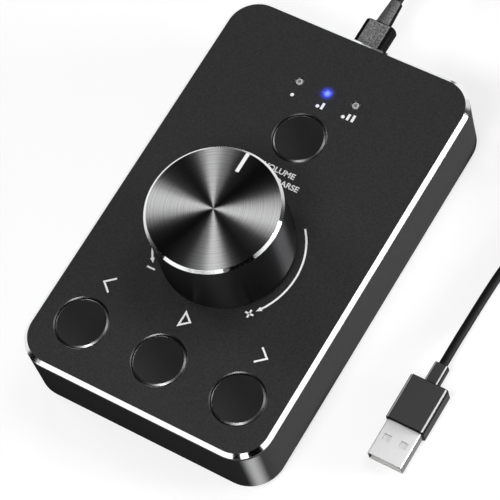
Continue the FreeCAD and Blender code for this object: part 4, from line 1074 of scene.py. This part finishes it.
@dataclass
class Lead:
    """The cable with its two plugs, and the strap that holds its coiled spare length."""

    diameter: float = 3.0 * MM
    length: float = 1.127
    exit_run: float = 9.5 * MM
    plug_run: float = 8.0 * MM
    coil_middle: Flat = mm(77.0, 86.0)
    coil_radius: float = 25.0 * MM
    coil_pitch: float = 3.45 * MM
    coil_turns: float = 8.375
    coil_start_turn: float = 0.25
    climb_turns: float = 0.5
    points_per_turn: int = 16
    lead_bends: tuple[Place, ...] = (
        mm(3.2, 113.6, 11.6), mm(9.8, 122.2, 5.9), mm(20.2, 127.8, 2.0), mm(32.6, 128.6, 1.5),
        mm(45.0, 123.8, 1.5), mm(55.3, 115.6, 1.5), mm(64.8, 111.0, 1.5),
    )
    tail_bends: tuple[Place, ...] = (
        mm(79.8, 51.6, 2.7), mm(75.6, 41.6, 1.5), mm(73.3, 30.4, 1.5), mm(72.7, 18.2, 1.5),
        mm(72.6, 6.2, 1.9),
    )
    spline_order: int = 3
    steps_per_point: int = 6
    roundness: int = 5
    strap_width: float = 6.0 * MM
    strap_thickness: float = 0.7 * MM
    strap_turn: float = 0.56
    strap_slack: float = 0.15 * MM
    strap_corner: float = 1.8 * MM
    strap_overlap: float = 8.0 * MM
    strap_corner_steps: int = 6
    strap_edge: float = 0.175 * MM
    strap_edge_steps: int = 2

    def build(self) -> None:
        """Dresses the plugs, lays the cable and straps its coil."""
        put_on(PLUG_SHELL, "usb_c_plug_shell", "usb_a_shell")
        put_on(GRIP_SMALL, "usb_c_plug_body")
        put_on(GRIP_LARGE, "usb_a_plug_body", "usb_a_relief")
        put_on(RELIEF_SMALL, "usb_c_relief")
        put_on(WHITE_PLASTIC, "usb_a_tongue")
        put_on(GOLD, "usb_a_contacts")
        cable = self.cable()
        strap = self.strap()

    @staticmethod
    def mouth(relief: str) -> Vector:
        """Where the cable leaves a plug's relief, given the relief's node."""
        low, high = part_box(relief)
        return Vector(((low.x + high.x) / 2, high.y, (low.z + high.z) / 2))

    def coil_point(self, turn: float, widen: float = 1.0) -> Vector:
        """Point of the coil's middle line after some turns, wound clockwise from above.

        Args:
            turn: how many turns from its start.
            widen: how much larger its radius is drawn.

        Returns:
            The point.
        """
        half = self.coil_turns / 2
        inward = turn if turn < half else self.coil_turns - turn
        radius = (self.coil_radius - self.coil_pitch * inward) * widen
        climb = min(1.0, max(0.0, (turn - half) / self.climb_turns + 0.5))
        angle = 2 * math.pi * (self.coil_start_turn - turn)
        x, y = self.coil_middle
        return Vector((
            x + radius * math.cos(angle), y + radius * math.sin(angle),
            self.diameter / 2 + self.coil_pitch * climb + self.lift(turn),
        ))

    def lift(self, turn: float) -> float:
        """How far the coil is raised, some turns from its start, to pass over the strap's lower run."""
        apart = (self.coil_start_turn - turn - self.strap_turn + 0.5) % 1.0 - 0.5
        return self.strap_thickness * (0.5 + 0.5 * math.cos(2 * math.pi * min(0.5, abs(apart) * 2)))

    def coil_direction(self, turn: float) -> Vector:
        """Which way the coil runs, some turns from its start."""
        angle = 2 * math.pi * (self.coil_start_turn - turn)
        return Vector((math.sin(angle), -math.cos(angle), 0))

    def route(self) -> list[Vector]:
        """Works out the control points of the whole cable.

        Returns:
            The points, from the small plug to the large one.
        """
        start, end = self.mouth("usb_c_relief"), self.mouth("usb_a_relief")
        count = math.ceil(self.coil_turns * self.points_per_turn)
        widen = 1 / math.cos(math.pi / self.points_per_turn)
        points = [start, start + Vector((0, self.exit_run, 0))]
        points += [Vector(bend) for bend in self.lead_bends]
        points.append(self.coil_point(0) - self.coil_direction(0) * self.diameter)
        points += [self.coil_point(self.coil_turns * number / count, widen) for number in range(1, count)]
        onward = self.coil_direction(self.coil_turns)
        leave = self.coil_point(self.coil_turns) + onward * self.diameter
        points += [leave, leave + onward * self.exit_run]
        points += [Vector(bend) for bend in self.tail_bends]
        points += [end + Vector((0, self.plug_run, 0)), end]
        return points

    def cable(self) -> bpy.types.Object:
        """Lays the cable as one smooth spline.

        Returns:
            The cable.
        """
        curve = bpy.data.curves.new("usb_cable", "CURVE")
        curve.dimensions = "3D"
        points = self.route()
        spline = curve.splines.new("NURBS")
        spline.points.add(len(points) - 1)
        for control, place in zip(spline.points, points):
            control.co = (*place, 1.0)
        spline.order_u = self.spline_order
        spline.use_endpoint_u = True
        spline.use_smooth = True
        curve.resolution_u = self.steps_per_point
        curve.bevel_depth = self.diameter / 2
        curve.bevel_resolution = self.roundness
        curve.use_fill_caps = True
        cable = add_piece("usb_cable", curve, JACKET, Body.LEAD)
        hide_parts("usb_cable_lead", "usb_cable_coil", "usb_cable_tail")
        return cable

    def strap_path(self) -> list[Flat]:
        """Works out the middle line of the strap round the bundle.

        Returns:
            Its points, as distances from the coil's axis and heights.
        """
        first = (self.coil_start_turn - self.strap_turn) % 1.0
        passes = [turn for turn in (first + number for number in range(math.ceil(self.coil_turns)))
                  if turn < self.coil_turns]
        axis = Vector(self.coil_middle)
        radii = [(self.coil_point(turn).to_2d() - axis).length for turn in passes]
        grow = self.diameter / 2 + self.strap_slack + self.strap_thickness / 2
        corner = self.strap_corner
        inner, outer = min(radii) - grow + corner, max(radii) + grow - corner
        foot = self.strap_thickness / 2 + corner
        top = foot + self.coil_pitch + 2 * grow - 2 * corner
        path = []
        for x, z, start in ((outer, top, 0), (inner, top, 90), (inner, foot, 180), (outer, foot, 270)):
            path += self.quarter(x, z, corner, start)
        lap = self.quarter(outer, top, corner + self.strap_thickness, 0)
        return path + lap + [(lap[-1][0] - self.strap_overlap, lap[-1][1])]

    def quarter(self, x: float, z: float, radius: float, start: int) -> list[Flat]:
        """Works out the points of a quarter circle.

        Args:
            x: its centre's distance from the coil's axis.
            z: its centre's height.
            radius: its radius.
            start: its first angle, in degrees.

        Returns:
            The points.
        """
        steps = self.strap_corner_steps
        angles = [math.radians(start + 90 * number / steps) for number in range(steps + 1)]
        return [(x + radius * math.cos(angle), z + radius * math.sin(angle)) for angle in angles]

    def strap(self) -> bpy.types.Object:
        """Makes the hook-and-loop strap round the coil's turns, with its overlapping end.

        Returns:
            The strap.
        """
        path = self.strap_path()
        angle = 2 * math.pi * self.strap_turn
        radial = Vector((math.cos(angle), math.sin(angle), 0))
        tangent = Vector((-math.sin(angle), math.cos(angle), 0))
        axis = Vector((*self.coil_middle, 0))
        shape = bmesh.new()
        rows = []
        for number, (reach, height) in enumerate(path):
            before = Vector(path[max(number - 1, 0)])
            after = Vector(path[min(number + 1, len(path) - 1)])
            along = (after - before).normalized()
            out = Vector((along.y, -along.x)) * self.strap_thickness / 2
            row = []
            for side, edge in ((-1, -1), (-1, 1), (1, 1), (1, -1)):
                r = reach + edge * out.x
                z = height + edge * out.y
                row.append(shape.verts.new(
                    axis + radial * r + tangent * side * self.strap_width / 2 + Vector((0, 0, z))
                ))
            rows.append(row)
        for near, far in zip(rows, rows[1:]):
            for a in range(4):
                b = (a + 1) % 4
                shape.faces.new((near[a], near[b], far[b], far[a]))
        shape.faces.new(rows[0])
        shape.faces.new(rows[-1])
        strap = add_piece("coil_strap", mesh_of("coil_strap", shape), STRAP_CLOTH, Body.LEAD)
        soften = strap.modifiers.new("soft_edges", "BEVEL")
        soften.width = self.strap_edge
        soften.segments = self.strap_edge_steps
        return strap


@dataclass(frozen=True)
class Softbox:
    """One soft studio lamp."""

    name: str
    towards: Place
    level: float
    distance: float = 1.2
    width: float = 0.4
    height: float = 0.4

    def hang(self, target: Vector) -> None:
        """Adds the lamp, looking at a point.

        Args:
            target: the point that it lights; level is how bright it makes a white face there.
        """
        light = bpy.data.lights.new(self.name, "AREA")
        light.shape = "RECTANGLE"
        light.size = self.width
        light.size_y = self.height
        light.energy = self.level * math.pi ** 2 * self.distance ** 2
        lamp = show(self.name, light)
        away = Vector(self.towards).normalized()
        lamp.location = target + away * self.distance
        lamp.rotation_euler = away.to_track_quat("Z", "Y").to_euler()
        LOG.info("lamp %s at %.2f m", self.name, self.distance)


@dataclass
class Studio:
    """Camera, floor, pale surroundings and lamps."""

    camera_place: Place = (0.30665, -0.26623, 0.74939)
    camera_right: Place = (0.84551, 0.50579, -0.17114)
    camera_up: Place = (-0.39051, 0.80434, 0.44782)
    lens_mm: float = 189.38
    sensor_mm: float = 36.0
    clip: Flat = (0.01, 50.0)
    middle: Place = (0.01, 0.0, 0.03)
    floor_half: float = 4.0
    floor_drop: float = 0.02 * MM
    floor_colour: Rgb = (0.36, 0.36, 0.36)
    floor_roughness: float = 0.8
    floor_shine: float = 0.1
    floor_lift: float = 0.71
    dome_low: float = 0.8
    dome_high: float = 0.0005
    dome_band: Flat = (0.1, 0.17)
    dome_side: Flat = (0.0, 0.2)
    lamps: tuple[Softbox, ...] = (
        Softbox("front_softbox", (0.10, -0.47, 0.877), 0.45, distance=0.36, width=0.1, height=0.1),
        Softbox("back_left_softbox", (-0.57, 0.72, 0.39), 0.12, width=0.26, height=0.26),
        Softbox("back_right_softbox", (0.21, 0.50, 0.84), 0.26, distance=2.0, width=0.93, height=0.77),
        Softbox("left_softbox", (-0.84, 0.12, 0.53), 0.2, distance=1.6, width=0.48, height=0.53),
        Softbox("right_softbox", (0.90, 0.42, 0.12), 1.5, width=0.5, height=0.2),
        Softbox("right_panel", (0.90, 0.20, 0.36), 0.1, width=1.15, height=0.3),
        Softbox("front_left_panel", (-0.289, -0.915, 0.282), 0.074, width=1.0, height=0.25),
        Softbox("front_panel", (0.18, -0.851, 0.493), 0.042, width=0.76, height=0.18),
        Softbox("corner_panel", (0.481, -0.794, 0.37), 0.013, width=0.33, height=0.08),
    )

    def build(self) -> None:
        """Sets up the whole studio."""
        self.camera()
        self.floor()
        self.world()
        for lamp in self.lamps:
            lamp.hang(Vector(self.middle))
        bpy.context.scene.view_settings.view_transform = "Standard"

    def camera(self) -> None:
        """Places the camera at the photograph's angle."""
        right, up = Vector(self.camera_right), Vector(self.camera_up)
        back = right.cross(up)
        turned = Matrix((right, up, back)).transposed().to_4x4()
        data = bpy.data.cameras.new("view")
        data.lens = self.lens_mm
        data.sensor_width = self.sensor_mm
        data.clip_start, data.clip_end = self.clip
        camera = show("view", data)
        camera.matrix_world = Matrix.Translation(self.camera_place) @ turned
        bpy.context.scene.camera = camera

    def floor(self) -> None:
        """Lays a plain pale floor that reads as white where nothing shades it."""
        shape = bmesh.new()
        half = self.floor_half
        corners = [shape.verts.new((x, y, -self.floor_drop)) for x, y in
                   ((-half, -half), (half, -half), (half, half), (-half, half))]
        shape.faces.new(corners)
        floor = show("studio_floor", mesh_of("studio_floor", shape))
        paint = bpy.data.materials.new("floor_finish")
        sheet = NodeSheet(paint)
        rays = sheet.node("ShaderNodeLightPath").outputs
        seen = sheet.maths("MAXIMUM", rays["Is Camera Ray"], rays["Is Glossy Ray"])
        seen = sheet.maths("MAXIMUM", seen, rays["Is Transmission Ray"])
        sheet.dress({
            "Base Color": self.floor_colour,
            "Roughness": self.floor_roughness,
            "Specular IOR Level": self.floor_shine,
            "Emission Color": (1.0, 1.0, 1.0),
            "Emission Strength": sheet.maths("MULTIPLY", seen, self.floor_lift),
        })
        floor.data.materials.append(paint)

    def world(self) -> None:
        """Surrounds the part with a dark ceiling over a horizon that is white on the right."""
        world = bpy.data.worlds.new("studio")
        bpy.context.scene.world = world
        sheet = NodeSheet(world, "Background")
        x, _, z = sheet.axes(sheet.node("ShaderNodeTexCoord").outputs["Generated"])
        side = sheet.spread(x, self.dome_high, self.dome_low, self.dome_side, "SMOOTHSTEP")
        band = sheet.spread(z, self.dome_low, self.dome_high, self.dome_band, "SMOOTHSTEP")
        sheet.dress({"Color": (1.0, 1.0, 1.0), "Strength": sheet.maths("MINIMUM", side, band)})


def main() -> None:
    """Builds the scene in order."""
    logging.basicConfig(level=logging.INFO, format="%(message)s")
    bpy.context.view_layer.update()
    Studio().build()
    Lead().build()
    enclosure = Enclosure()
    enclosure.build()
    Keypad().build()
    knob = TurningKnob()
    knob.build()
    Internals().build()
    ModeLamps().build()
    PrintedMarks(surface=enclosure.top(), knob=knob.centre()).build()


if __name__ == "__main__":
    main()
